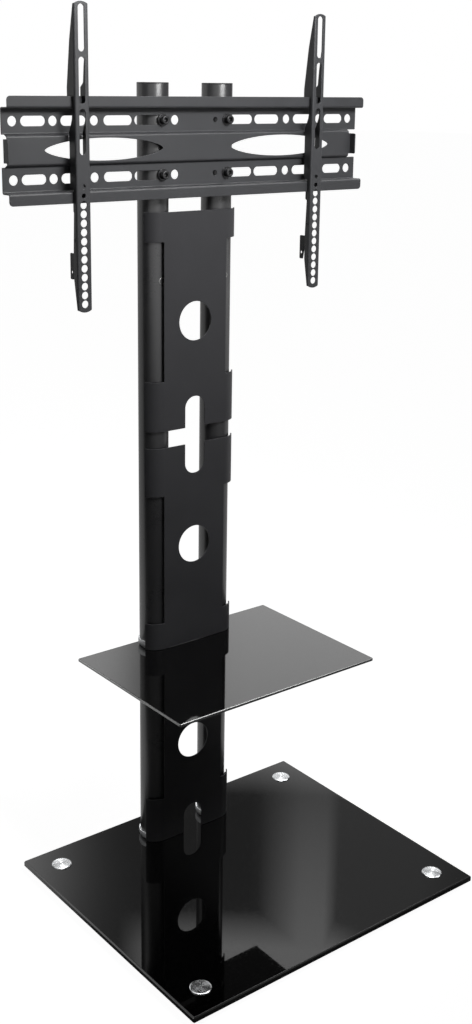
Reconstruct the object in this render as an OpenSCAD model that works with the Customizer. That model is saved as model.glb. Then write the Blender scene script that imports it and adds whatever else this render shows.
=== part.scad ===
// Television stand: a black glass base and shelf on a column of two steel tubes, with
// clip-on steel covers and a slotted rail that carries two sliding hook arms.
// The frame: X to the viewer's right, -Y towards the television, Z up, with the floor at zero.

/* [Base] */
// Width of the base glass
base_w = 568; // [540:1:620]
// Depth of the base glass
base_d = 476; // [450:1:540]
// Thickness of the base glass
base_t = 10; // [8:0.5:12]
// Polished bevel round the base glass
base_bevel = 2; // [1:0.5:3]
// Height of the feet below the base glass
foot_h = 12; // [11.5:0.5:20]
// Diameter of the foot pads and of the steel discs above them
foot_d = 32; // [26:1:40]
// Distance of the feet from the edges of the base glass
foot_inset = 46; // [30:1:60]
// Height of the steel discs on the base glass
disc_h = 2; // [1.5:0.5:4]

/* [Column] */
// Outer diameter of the two tubes
tube_d = 48; // [44:1:50]
// Wall of the tubes
tube_wall = 1.5; // [1:0.1:2.5]
// Distance between the axes of the tubes
tube_pitch = 121; // [116:1:132]
// Distance of the tube axes from the back edge of the base
column_back = 60.5; // [50:0.5:90]
// Height of the tubes above the rail's upper edge
tube_over_rail = 20.5; // [10:0.5:60]
// Height of the steel collars at the foot of each tube
collar_h = 12; // [8:1:16]
// How far a collar's upper rim stands out past its tube
collar_flare = 2.4; // [1.5:0.1:3]
// Thickness of the rubber gaskets on the glass
gasket_t = 1; // [0.8:0.1:1.5]

/* [Shelf] */
// Width of the shelf glass
shelf_w = 388; // [320:1:450]
// Depth of the shelf glass
shelf_d = 282; // [240:1:330]
// Thickness of the shelf glass
shelf_t = 5; // [4:0.5:6]
// Polished bevel round the shelf glass
shelf_bevel = 1; // [0.5:0.1:1.5]
// Space between the lower cover and the shelf
shelf_space = 6.5; // [2:0.5:60]
// How far the shelf reaches behind the tube axes
shelf_back = 24; // [18:1:40]

/* [Covers] */
// Height of each cover between the tubes
panel_h = 342; // [300:1:420]
// Sheet thickness of the covers
panel_t = 1.8; // [1:0.1:2.5]
// Gap between the covers and the tubes, filled by foam pads
panel_gap = 3.4; // [3.2:0.1:5]
// Open space between the upper and the middle cover
panel_space = 27; // [15:1:40]
// Width of a cover where it has no ears
panel_w = 120; // [100:1:122]
// How far an ear wraps round its tube, in degrees
ear_angle = 65; // [50:1:80]
// Height of the ears at a cover's notched end
long_ear_h = 80; // [60:1:100]
// Height of the ears at a cover's other end
short_ear_h = 45; // [35:1:60]
// Diameter of the cable hole in the middle of each cover
cable_hole_d = 62; // [40:1:70]
// Width of the cable notch at one end of each cover
notch_w = 38; // [25:1:45]
// Depth of the cable notch
notch_d = 50; // [30:1:60]

/* [Rail] */
// Width of the rail
rail_w = 660; // [640:2:760]
// Height of the rail over both lips
rail_h = 147; // [142:1:170]
// Sheet thickness of the rail
rail_t = 2; // [1.5:0.1:2.5]
// Space between the upper cover and the rail
rail_space = 22; // [10:1:60]
// Height of a lip, from the ledge that carries it to its edge
lip_h = 16.5; // [14:0.5:18]
// How far the lips stand in front of the slotted strips
lip_out = 18.5; // [17.5:0.5:24]
// Flat height of the raised middle
middle_h = 38.6; // [36:0.2:42]
// How far the raised middle stands in front of the strips
middle_out = 6; // [4:0.5:7]
// Distance between the two rows of slots
row_pitch = 80; // [78:1:84]
// Height of the slots and diameter of the round holes
slot_h = 14; // [10:1:16]
// Diameter of the two small holes right of the tubes
pilot_d = 8; // [5:0.5:10]
// Height of the lens-shaped cut-outs
lens_h = 32; // [20:1:34]
// Reach of the stop folded at each end of the raised middle
stop_out = 11; // [8:0.5:12]
// Distance of the right-hand stop from the rail's end
right_stop_in = 13.5; // [6:0.5:20]

/* [Bolts] */
// Thread diameter of the rail bolts
bolt_d = 8; // [6:1:8]
// Head diameter of the rail bolts
bolt_head_d = 13; // [11:0.5:14]
// Head height of the rail bolts
bolt_head_h = 8; // [6:0.5:9]
// Diameter of the washers under the rail bolts
washer_d = 18; // [16:0.5:20]
// Thickness of the washers
washer_t = 1.6; // [1:0.1:2]

/* [Arms] */
// Height of the hook arms
arm_h = 430; // [420:1:480]
// Width of the hook arms
arm_w = 24; // [22:1:28]
// Sheet thickness of the arms
arm_t = 2; // [1.5:0.1:2.2]
// How far the arms reach below the middle of the rail
arm_below = 230; // [222:1:240]
// Radius of the rounded ends of the arms
arm_end_r = 19; // [16:0.5:40]
// How far the arms' faces stand in front of the lips
arm_out = 8; // [7:0.5:10]
// Depth of the hooks behind the arms' faces
hook_depth = 21.5; // [19:0.5:23]
// Place of the left arm along the rail
left_arm_x = -216; // [-300:1:-90]
// Place of the right arm along the rail
right_arm_x = 223.5; // [90:0.5:290]
// Width of the long slots in the arms
arm_slot_w = 10; // [6:0.5:12]
// Length of the long slots in the arms
arm_slot_l = 63; // [50:1:66]
// Distance from one long slot to the next
arm_slot_pitch = 70; // [69:0.5:74]
// Diameter of the large holes in the arms
arm_hole_d = 11; // [6:0.5:11.5]
// Distance from one hole to the next
arm_hole_pitch = 12.9; // [12.6:0.1:13.2]
// Number of large holes in each arm
arm_hole_count = 12; // [8:1:12]
// Diameter of the two small holes above the large ones
arm_pilot_d = 6.5; // [4:0.5:8]

/* [Latches] */
// Sheet thickness of the latches
latch_t = 2; // [1.5:0.1:2.2]
// Travel of a latch when it is pulled down
latch_travel = 10; // [10:0.5:12]
// Diameter of the guide pins
latch_pin_d = 4; // [3:0.5:4.5]
// Wire of the latch springs
spring_wire = 0.9; // [0.7:0.05:1]
// Outer diameter of the latch springs
spring_d = 6; // [5:0.5:6.5]
// Length of each latch spring at rest
spring_l = 24; // [22:0.5:26]
// Turns of each latch spring
spring_turns = 6; // [5:1:7]

/* [Hidden] */
$fn = 64;

// How far a cut runs past the face it cuts
over = 1;
// Radial gap between a thread and the hole it is drawn in
thread_gap = 0.05;
// Clearance between pieces that slide past each other
slide_gap = 0.3;

// Floor studs, holes and plates of the base
foot_stud_d = 6;
foot_hole_d = 7;
base_bolt_d = 10;
base_bolt_head_d = 17;
base_bolt_head_h = 6.4;
glass_hole_d = 13;
under_plate_t = 3;
under_plate_margin = 34;
under_plate_corner = 10;
gasket_d = tube_d;
disc_bevel = disc_h / 4;
base_top = foot_h + base_t;
foot_x = base_w / 2 - foot_inset;
foot_y = base_d / 2 - foot_inset;
column_y = base_d / 2 - column_back;

// Column heights, each from the one below it
tube_r = tube_d / 2;
tube_x = tube_pitch / 2;
tube_front = column_y - tube_r;
collar_floor = collar_h / 4;
collar_lift = gasket_t + collar_floor;
plug_h = 20;
cap_lip = 2;
cap_depth = 15;
panel_lift = 0.5;
lower_panel_z = base_top + panel_lift;
shelf_under = lower_panel_z + panel_h + shelf_space;
shelf_top = shelf_under + shelf_t;
middle_panel_z = shelf_top + panel_lift;
upper_panel_z = middle_panel_z + panel_h + panel_space;
rail_z = upper_panel_z + panel_h + rail_space + rail_h / 2;
rail_top = rail_z + rail_h / 2;
rail_low = rail_z - rail_h / 2;
tube_top = rail_top + tube_over_rail - cap_lip;

// Covers
panel_out_r = tube_r + panel_gap + panel_t;
panel_in_r = tube_r + panel_gap;
panel_front = column_y - panel_out_r;
slit_h = panel_h - long_ear_h - short_ear_h;
pad_edge = 3;
pad_start = collar_lift + collar_h;

// Rail section, measured from the front face of the strips
strip_front = tube_front - rail_t;
strip_mid = strip_front + rail_t / 2;
lip_front = strip_front - lip_out;
middle_front = strip_front - middle_out;
ledge_z = rail_h / 2 - lip_h + rail_t / 2;
bend_h = 3.2;
bend_r = 2.5;
bend_steps = 6;
relief_w = 5;
relief_h = 3;
lip_corner = 5;
row_z = row_pitch / 2;

// Places along half the rail's width of the round holes, the slots and the cut-outs
hole_shares = [0.546, 0.753, 0.948];
inner_hole_share = 0.115;
slot_shares = [[0.348, 0.498], [0.588, 0.715], [0.789, 0.909]];
bolt_slot_end_share = 0.336;
lens_shares = [0.194, 0.805];
lens_blunt = 0.7;
lens_steps = 24;

// Threaded inserts in the fronts of the tubes
nut_r = 5.5;
nut_l = 14;
nut_rows = 4;
bolt_reach = 20;
bolt_key = 6;
bolt_key_depth = 5;
bolt_head_bevel = 0.8;
washer_hole_gap = 0.4;

// Angles between which foam lies behind an ear, clear of the threaded inserts
pad_nut_gap = 1;
pad_end_share = 0.85;
pad_first = asin((nut_r + pad_nut_gap) / tube_r);
pad_last = ear_angle * pad_end_share;

// Outline of the arms, seen from the side
arm_front = lip_front - arm_out;
arm_z = rail_z - arm_below;
arm_bend_r = 2;
lip_slot_front = arm_out - slide_gap;
lip_slot_back = arm_out + rail_t + slide_gap;
ledge_room = 2;
arm_end_depth = 3;
arm_low_depth = 10.7;
arm_mid_depth = 17;
arm_high_depth = 13;
arm_rise = 4;
arm_fall_h = 17;
arm_hook_rise = 12.5;
arm_end_shares = [0.012, 0.988];
arm_low_shares = [0.11, 0.21];
arm_high_share = 0.881;
arm_slot_top = 35;

// The arms' right-hand walls are shallower than the left-hand ones above and below the rail
arm_far_low_depth = 6.5;
arm_far_rise = 4;
arm_far_steps = [[14, 18.5], [12, 40.5], [9, 61.5], [6, 81.5]];

// Latch outline, depths from the arm's face and heights from the arm's lower end
latch_in = 5.2;
latch_front = arm_t + 0.5;
latch_spine_w = 7;
latch_bar_low = 74.8;
latch_bar_high = 84.3;
latch_bar_reach = 27.4;
latch_leg_w = 7.6;
latch_leg_flare = 5;
latch_leg_low = 46.2;
latch_hole_d = 4.6;
latch_hole_rise = 10.5;
latch_spine_gap = 2.5;
latch_tongue_w = 6.2;
latch_tongue_rise = 8.5;
latch_tongue_low = 17;
latch_tongue_slope = 4;
latch_head_depth = 14;
latch_head_rise = 6;
latch_pin_low = 104;
latch_pin_rise = 10;
pin_gap = 0.1;
pin_side_gap = 0.2;
pin_collar_r = 3.4;
pin_head_t = 1.5;
tab_t = 2;
tab_w = 6;
spring_x = 2.5;
spring_seat_gap = 0.1;
spring_rings = 8;
spring_sides = 6;

latch_x = latch_in - arm_w / 2;
latch_lip = rail_low - arm_z;
latch_head_low = latch_lip + lip_h + latch_travel + ledge_room;
arm_tab_z = latch_head_low + ledge_room;
latch_tab_z = arm_tab_z + tab_t + spring_l;
latch_head_high = latch_tab_z + tab_t + latch_head_rise;
latch_pin_depth = latch_front + latch_spine_w / 2;
latch_pin_heights = [latch_pin_low, latch_head_low + latch_pin_rise];
spring_low = arm_z + arm_tab_z + tab_t + spring_seat_gap;
spring_high = arm_z + latch_tab_z - spring_seat_gap;
spring_r = (spring_d - spring_wire) / 2;
spring_y = arm_front + latch_pin_depth;

// Plain helpers for directions in a drawing
function unit_of(v) = v / norm(v);
function left_of(v) = [-v[1], v[0]];
function turned(v, w) = [v[0] * cos(w) - v[1] * sin(w), v[0] * sin(w) + v[1] * cos(w)];
function turn_between(a, b) = atan2(a[0] * b[1] - a[1] * b[0], a * b);
function backwards(points) = [for (i = [len(points) - 1:-1:0]) points[i]];

// The arc that one side of a bent sheet makes round the corner q of its middle line
function bend_arc(p, q, s, r, off) =
    let(a = unit_of(q - p))
    let(turn = turn_between(a, unit_of(s - q)))
    let(side = sign(turn))
    let(centre = q - r * tan(abs(turn) / 2) * a + side * r * left_of(a))
    [for (i = [0:bend_steps]) centre - (side * r - off) * left_of(turned(a, turn * i / bend_steps))];

// One side of a bent sheet, off its middle line by the distance off
function sheet_side(path, r, off) =
    let(last = len(path) - 1)
    concat(
        [path[0] + off * left_of(unit_of(path[1] - path[0]))],
        [for (i = [1:last - 1]) each bend_arc(path[i - 1], path[i], path[i + 1], r, off)],
        [path[last] + off * left_of(unit_of(path[last] - path[last - 1]))]
    );

// A sheet of thickness t bent along a path, with bends of middle radius r
module sheet_section(path, r, t) {
    polygon(concat(sheet_side(path, r, t / 2), backwards(sheet_side(path, r, -t / 2))));
}

// A drawing in Y and Z made into a bar that lies along X
module along_x(length) {
    rotate([90, 0, 90])
        linear_extrude(length, center = true)
            children();
}

// A drawing in X and Z made into a bar that lies along Y
module along_y(length) {
    rotate([90, 0, 0])
        linear_extrude(length, center = true)
            children();
}

// A round bar along Y
module rod_y(d, length) {
    rotate([90, 0, 0])
        cylinder(d = d, h = length, center = true);
}

// A slot with round ends, drawn flat, lying along its first axis
module slot_drawing(length, height) {
    square([length - height, height], center = true);
    for (s = [-1, 1])
        translate([s * (length - height) / 2, 0])
            circle(d = height);
}

// Places a child at both tubes
module at_tubes() {
    for (s = [-1, 1])
        translate([s * tube_x, column_y, 0])
            children();
}

// The rim of a glass sheet, drawn from the side
module bevel_drawing(w, t, b) {
    polygon([
        [-w / 2 + b, 0], [w / 2 - b, 0], [w / 2, b], [w / 2, t - b],
        [w / 2 - b, t], [-w / 2 + b, t], [-w / 2, t - b], [-w / 2, b]
    ]);
}

// A sheet of glass with all its long edges bevelled
module bevelled_sheet(w, d, t, b) {
    intersection() {
        along_x(w) bevel_drawing(d, t, b);
        along_y(d) bevel_drawing(w, t, b);
    }
}

module base_glass() {
    color("black")
        difference() {
            translate([0, 0, foot_h]) bevelled_sheet(base_w, base_d, base_t, base_bevel);
            translate([0, 0, foot_h - over]) {
                at_tubes() cylinder(d = glass_hole_d, h = base_t + 2 * over);
                for (x = [-foot_x, foot_x])
                    for (y = [-foot_y, foot_y])
                        translate([x, y, 0]) cylinder(d = foot_hole_d, h = base_t + 2 * over);
            }
        }
}

// Turned steel disc with a bevelled rim, at one corner of the base
module foot_disc(sx, sy) {
    color("silver")
        translate([sx * foot_x, sy * foot_y, base_top])
            rotate_extrude()
                polygon([
                    [0, 0], [foot_d / 2, 0], [foot_d / 2, disc_h - disc_bevel],
                    [foot_d / 2 - disc_bevel, disc_h], [0, disc_h]
                ]);
}

// Rubber foot with a blind hole for its stud
module foot_pad(sx, sy) {
    color("dimgray")
        translate([sx * foot_x, sy * foot_y, 0])
            difference() {
                cylinder(d = foot_d, h = foot_h);
                translate([0, 0, foot_h / 3])
                    cylinder(d = foot_stud_d + 2 * thread_gap, h = foot_h);
            }
}

module foot_studs() {
    color("gray")
        for (x = [-foot_x, foot_x])
            for (y = [-foot_y, foot_y])
                translate([x, y, foot_h / 2])
                    cylinder(d = foot_stud_d, h = base_top - foot_h / 2);
}

// Steel plate under the glass that spreads the load of the column
module under_plate() {
    plate_w = tube_pitch + 2 * under_plate_margin;
    plate_d = 2 * under_plate_margin;
    color("dimgray")
        translate([0, column_y, foot_h - gasket_t - under_plate_t])
            linear_extrude(under_plate_t)
                difference() {
                    union() {
                        square([plate_w - 2 * under_plate_corner, plate_d], center = true);
                        square([plate_w, plate_d - 2 * under_plate_corner], center = true);
                        for (x = [-1, 1])
                            for (y = [-1, 1])
                                translate([
                                    x * (plate_w / 2 - under_plate_corner),
                                    y * (plate_d / 2 - under_plate_corner)
                                ])
                                    circle(r = under_plate_corner);
                    }
                    for (s = [-1, 1])
                        translate([s * tube_x, 0]) circle(d = base_bolt_d + 2 * thread_gap);
                }
}

module base_bolts() {
    head_top = foot_h - gasket_t - under_plate_t;
    color("gray")
        at_tubes()
            union() {
                translate([0, 0, head_top - base_bolt_head_h])
                    cylinder(d = base_bolt_head_d, h = base_bolt_head_h, $fn = 6);
                translate([0, 0, head_top])
                    cylinder(d = base_bolt_d, h = base_top + collar_lift + plug_h / 2 - head_top);
            }
}

// A rubber ring under a tube, resting at height z
module gasket(z) {
    translate([0, 0, z])
        difference() {
            cylinder(d = gasket_d, h = gasket_t);
            translate([0, 0, -over]) cylinder(d = glass_hole_d, h = gasket_t + 2 * over);
        }
}

module base_gaskets() {
    color("black")
        at_tubes() {
            gasket(foot_h - gasket_t);
            gasket(base_top);
        }
}

// Steel cup that holds the foot of a tube: a flared ring on a thin floor
module collar(side, z) {
    floor_r = tube_r;
    rim_r = tube_r + collar_flare;
    color("silver")
        translate([side * tube_x, column_y, z + gasket_t])
            rotate_extrude()
                polygon([
                    [glass_hole_d / 2, 0], [floor_r, 0], [rim_r, collar_h],
                    [tube_r, collar_h], [tube_r, collar_floor], [glass_hole_d / 2, collar_floor]
                ]);
}

// A steel tube from height low to height high
module tube(side, low, high) {
    translate([side * tube_x, column_y, low])
        difference() {
            cylinder(r = tube_r, h = high - low);
            translate([0, 0, -over])
                cylinder(r = tube_r - tube_wall, h = high - low + 2 * over);
        }
}

module lower_tube(side) {
    color("#2b2c2e") tube(side, base_top + collar_lift, shelf_under - gasket_t);
}

// The upper tube, with holes in its front for the threaded inserts
module upper_tube(side) {
    color("#2b2c2e")
        difference() {
            tube(side, shelf_top + collar_lift, tube_top);
            for (row = [0:nut_rows - 1])
                translate([side * tube_x, tube_front, rail_z + row_z - row * row_pitch])
                    rod_y(2 * nut_r, nut_l);
        }
}

// A threaded steel plug pressed into the end of a tube, with its lower face at height z
module tube_plug(z) {
    translate([0, 0, z])
        difference() {
            cylinder(r = tube_r - tube_wall, h = plug_h);
            translate([0, 0, -over])
                cylinder(d = base_bolt_d + 2 * thread_gap, h = plug_h + 2 * over);
        }
}

module lower_tube_plugs() {
    color("gray")
        at_tubes() {
            tube_plug(base_top + collar_lift);
            tube_plug(shelf_under - gasket_t - plug_h);
        }
}

module upper_tube_plugs() {
    color("gray") at_tubes() tube_plug(shelf_top + collar_lift);
}

module shelf_glass() {
    color("black")
        difference() {
            translate([0, column_y + shelf_back - shelf_d / 2, shelf_under])
                bevelled_sheet(shelf_w, shelf_d, shelf_t, shelf_bevel);
            translate([0, 0, shelf_under - over])
                at_tubes() cylinder(d = glass_hole_d, h = shelf_t + 2 * over);
        }
}

module shelf_gaskets() {
    color("black")
        at_tubes() {
            gasket(shelf_under - gasket_t);
            gasket(shelf_top);
        }
}

// Threaded rods that join the lower and upper tubes through the shelf glass
module shelf_studs() {
    stud_low = shelf_under - gasket_t - plug_h;
    color("gray")
        at_tubes()
            translate([0, 0, stud_low])
                cylinder(d = base_bolt_d, h = shelf_top + collar_lift + plug_h - stud_low);
}

// Flat plastic cap with a thin lip and a plug that goes into the tube
module tube_cap(side) {
    color("#1c1c1d")
        translate([side * tube_x, column_y, tube_top])
            union() {
                cylinder(r = tube_r, h = cap_lip);
                translate([0, 0, -cap_depth]) cylinder(r = tube_r - tube_wall, h = cap_depth);
            }
}

// A sector of a ring round the right-hand tube, from angle first to angle last off its front
module ring_sector(inner_r, outer_r, first, last, height) {
    far = 2 * outer_r;
    intersection() {
        difference() {
            cylinder(r = outer_r, h = height);
            translate([0, 0, -over]) cylinder(r = inner_r, h = height + 2 * over);
        }
        linear_extrude(height)
            polygon([
                [0, 0], far * [sin(first), -cos(first)],
                far * [sin((first + last) / 2), -cos((first + last) / 2)],
                far * [sin(last), -cos(last)]
            ]);
    }
}

// Places a child at the right-hand tube and its mirror image at the left-hand one
module both_sides() {
    for (m = [0, 1])
        mirror([m, 0, 0])
            translate([tube_x, column_y, 0])
                children();
}

// Sheet cover with a notch at its lower end, long ears there and short ears at the top
module panel_sheet() {
    difference() {
        union() {
            translate([-tube_x, panel_front, 0]) cube([tube_pitch, panel_t, panel_h]);
            both_sides() {
                ring_sector(panel_in_r, panel_out_r, 0, ear_angle, long_ear_h);
                translate([0, 0, panel_h - short_ear_h])
                    ring_sector(panel_in_r, panel_out_r, 0, ear_angle, short_ear_h);
            }
        }
        for (m = [0, 1])
            mirror([m, 0, 0])
                translate([panel_w / 2, panel_front - over, long_ear_h])
                    cube([tube_x, panel_t + 2 * over, slit_h]);
        translate([0, panel_front + panel_t / 2, panel_h / 2])
            rod_y(cable_hole_d, panel_t + 2 * over);
        translate([0, panel_front + panel_t / 2, 0]) {
            translate([-notch_w / 2, -panel_t / 2 - over, -over])
                cube([notch_w, panel_t + 2 * over, notch_d - notch_w / 2 + over]);
            translate([0, 0, notch_d - notch_w / 2]) rod_y(notch_w, panel_t + 2 * over);
        }
    }
}

// The four foam pads behind the ears of a cover
module panel_pads() {
    both_sides() {
        translate([0, 0, pad_start])
            ring_sector(tube_r, panel_in_r, pad_first, pad_last, long_ear_h - pad_start - pad_edge);
        translate([0, 0, panel_h - short_ear_h + pad_edge])
            ring_sector(tube_r, panel_in_r, pad_first, pad_last, short_ear_h - pad_start - pad_edge);
    }
}

// Turns a cover upside down in its own height
module upside_down() {
    translate([0, 0, panel_h]) mirror([0, 0, 1]) children();
}

module panel_lower() {
    color("#232426") translate([0, 0, lower_panel_z]) panel_sheet();
}

module panel_middle() {
    color("#232426") translate([0, 0, middle_panel_z]) upside_down() panel_sheet();
}

module panel_upper() {
    color("#232426") translate([0, 0, upper_panel_z]) panel_sheet();
}

module panel_pads_lower() {
    color("black") translate([0, 0, lower_panel_z]) panel_pads();
}

module panel_pads_middle() {
    color("black") translate([0, 0, middle_panel_z]) upside_down() panel_pads();
}

module panel_pads_upper() {
    color("black") translate([0, 0, upper_panel_z]) panel_pads();
}

// Threaded inserts in the front of one tube
module rivet_nuts(side) {
    color("gray")
        for (row = [0:nut_rows - 1])
            translate([
                side * tube_x, tube_front + nut_l / 2, rail_z + row_z - row * row_pitch
            ])
                difference() {
                    rod_y(2 * nut_r, nut_l);
                    rod_y(bolt_d, nut_l + 2 * over);
                }
}

// Middle line of the rail's sheet, in Y and Z, from the upper lip to the lower one
rail_path = [
    [lip_front + rail_t / 2, rail_h / 2],
    [lip_front + rail_t / 2, ledge_z],
    [strip_mid, ledge_z],
    [strip_mid, middle_h / 2 + bend_h],
    [middle_front + rail_t / 2, middle_h / 2],
    [middle_front + rail_t / 2, -middle_h / 2],
    [strip_mid, -middle_h / 2 - bend_h],
    [strip_mid, -ledge_z],
    [lip_front + rail_t / 2, -ledge_z],
    [lip_front + rail_t / 2, -rail_h / 2]
];

// Lens outline: round tips and long flat sides
module lens_drawing(length, height) {
    sweep = [for (i = [0:lens_steps]) -cos(180 * i / lens_steps)];
    upper = [for (u = sweep) [u * length / 2, pow(1 - u * u, lens_blunt) * height / 2]];
    lower = [for (i = [1:lens_steps - 1]) [upper[i][0], -upper[i][1]]];
    polygon(concat(backwards(upper), lower));
}

// Every hole that goes straight through one half of the rail, drawn in X and Z
module half_rail_holes(inner_hole_d) {
    half = rail_w / 2;
    for (s = [-1, 1])
        translate([0, s * row_z]) {
            translate([inner_hole_share * half, 0]) circle(d = inner_hole_d);
            for (share = hole_shares)
                translate([share * half, 0]) circle(d = slot_h);
            for (ends = slot_shares)
                translate([(ends[0] + ends[1]) / 2 * half, 0])
                    slot_drawing((ends[1] - ends[0]) * half, slot_h);
            bolt_slot_l = bolt_slot_end_share * half - tube_x + slot_h / 2;
            translate([tube_x - slot_h / 2 + bolt_slot_l / 2, 0])
                slot_drawing(bolt_slot_l, slot_h);
        }
    translate([(lens_shares[0] + lens_shares[1]) / 2 * half, 0])
        lens_drawing((lens_shares[1] - lens_shares[0]) * half, lens_h);
}

// The corner cut off the end of a lip, drawn at the corner itself
module corner_cut(r) {
    difference() {
        translate([-r, -r]) square(r + over);
        translate([-r, -r]) circle(r = r);
    }
}

// The rail: its raised middle ends at the two stops, the right one short of the lips and strips
module rail_plate() {
    rail_depth = lip_out + rail_t;
    stop_places = [rail_w / 2 - right_stop_in, rail_w / 2];
    color("#47484a")
        translate([0, 0, rail_z])
            difference() {
                union() {
                    along_x(rail_w) sheet_section(rail_path, bend_r, rail_t);
                    for (m = [0, 1])
                        mirror([m, 0, 0])
                            translate([
                                stop_places[m] - rail_t, middle_front - stop_out,
                                relief_h - middle_h / 2
                            ])
                                cube([rail_t, stop_out + rail_t / 2, middle_h - 2 * relief_h]);
                }
                translate([
                    stop_places[0], middle_front - stop_out - over, -middle_h / 2 - bend_h
                ])
                    cube([right_stop_in + over, stop_out + rail_depth, middle_h + 2 * bend_h]);
                translate([0, lip_front + rail_depth / 2, 0])
                    along_y(rail_depth + 2 * over) {
                        half_rail_holes(pilot_d);
                        mirror([1, 0]) half_rail_holes(slot_h);
                    }
                for (m = [0, 1])
                    for (n = [0, 1])
                        mirror([m, 0, 0])
                            mirror([0, 0, n]) {
                                translate([
                                    stop_places[m] - relief_w, middle_front - stop_out,
                                    middle_h / 2 - relief_h
                                ])
                                    cube([
                                        rail_w / 2 - stop_places[m] + relief_w + over,
                                        stop_out + rail_depth, relief_h + bend_h
                                    ]);
                                translate([rail_w / 2, lip_front + rail_t / 2, rail_h / 2])
                                    along_y(2 * rail_t) corner_cut(lip_corner);
                            }
            }
}

// Places a child at the four rail bolts, on the front face of the strips
module at_rail_bolts() {
    for (x = [-tube_x, tube_x])
        for (z = [-row_z, row_z])
            translate([x, strip_front, rail_z + z])
                children();
}

module rail_washers() {
    color("#3a3a3b")
        at_rail_bolts()
            translate([0, -washer_t / 2, 0])
                difference() {
                    rod_y(washer_d, washer_t);
                    rod_y(bolt_d + 2 * washer_hole_gap, washer_t + 2 * over);
                }
}

// Socket-head screws: a bevelled round head with a six-sided socket
module rail_bolts() {
    head_r = bolt_head_d / 2;
    shank_r = bolt_d / 2 - thread_gap;
    color("#3a3a3b")
        at_rail_bolts()
            translate([0, -washer_t, 0])
                rotate([90, 0, 0])
                    difference() {
                        rotate_extrude()
                            polygon([
                                [0, -bolt_reach], [shank_r, -bolt_reach], [shank_r, 0], [head_r, 0],
                                [head_r, bolt_head_h - bolt_head_bevel],
                                [head_r - bolt_head_bevel, bolt_head_h], [0, bolt_head_h]
                            ]);
                        translate([0, 0, bolt_head_h - bolt_key_depth])
                            cylinder(d = bolt_key / cos(30), h = bolt_key_depth + over, $fn = 6);
                    }
}

// Side of an arm: depth behind its face and height above the floor
arm_outline = [
    [0, arm_z],
    [arm_end_depth, arm_z + arm_end_shares[0] * arm_h],
    [arm_low_depth, arm_z + arm_low_shares[0] * arm_h],
    [arm_low_depth, arm_z + arm_low_shares[1] * arm_h],
    [lip_slot_front, rail_low - ledge_room],
    [lip_slot_front, rail_low + lip_h + ledge_room],
    [arm_mid_depth, rail_low + lip_h + ledge_room + arm_rise],
    [arm_mid_depth, rail_z + middle_h / 2 + bend_h + ledge_room],
    [lip_slot_front + ledge_room, rail_z + middle_h / 2 + bend_h + ledge_room + arm_fall_h],
    [lip_slot_front, rail_top - lip_h - ledge_room],
    [lip_slot_front, rail_top + slide_gap],
    [lip_slot_back, rail_top + slide_gap],
    [lip_slot_back, rail_top - lip_h + rail_t + ledge_room],
    [hook_depth, rail_top - lip_h + rail_t + ledge_room],
    [hook_depth, rail_top + arm_hook_rise],
    [arm_high_depth, arm_z + arm_high_share * arm_h],
    [arm_end_depth, arm_z + arm_end_shares[1] * arm_h],
    [0, arm_z + arm_h]
];

// What comes off an arm's right-hand wall below the rail and above the hook
arm_far_low = [
    [arm_far_low_depth, arm_z - over],
    [2 * hook_depth, arm_z - over],
    [2 * hook_depth, rail_low - ledge_room],
    [lip_slot_front + slide_gap, rail_low - ledge_room],
    [arm_far_low_depth, rail_low - ledge_room - arm_far_rise]
];
arm_far_high = [
    [2 * hook_depth, rail_top + arm_hook_rise],
    [hook_depth + over, rail_top + arm_hook_rise],
    for (p = arm_far_steps) [p[0], rail_top + p[1]],
    [arm_end_depth, arm_z + arm_end_shares[1] * arm_h],
    [arm_end_depth, arm_z + arm_h + over],
    [2 * hook_depth, arm_z + arm_h + over]
];

// Front of an arm: a strip with both ends rounded to a wide radius
module arm_drawing() {
    end_h = arm_end_r - sqrt(pow(arm_end_r, 2) - pow(arm_w / 2, 2));
    square([arm_w, arm_h - 2 * end_h], center = true);
    for (s = [-1, 1])
        intersection() {
            translate([0, s * (arm_h / 2 - end_h)]) square([arm_w, 2 * end_h], center = true);
            translate([0, s * (arm_h / 2 - arm_end_r)]) circle(r = arm_end_r);
        }
}

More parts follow.
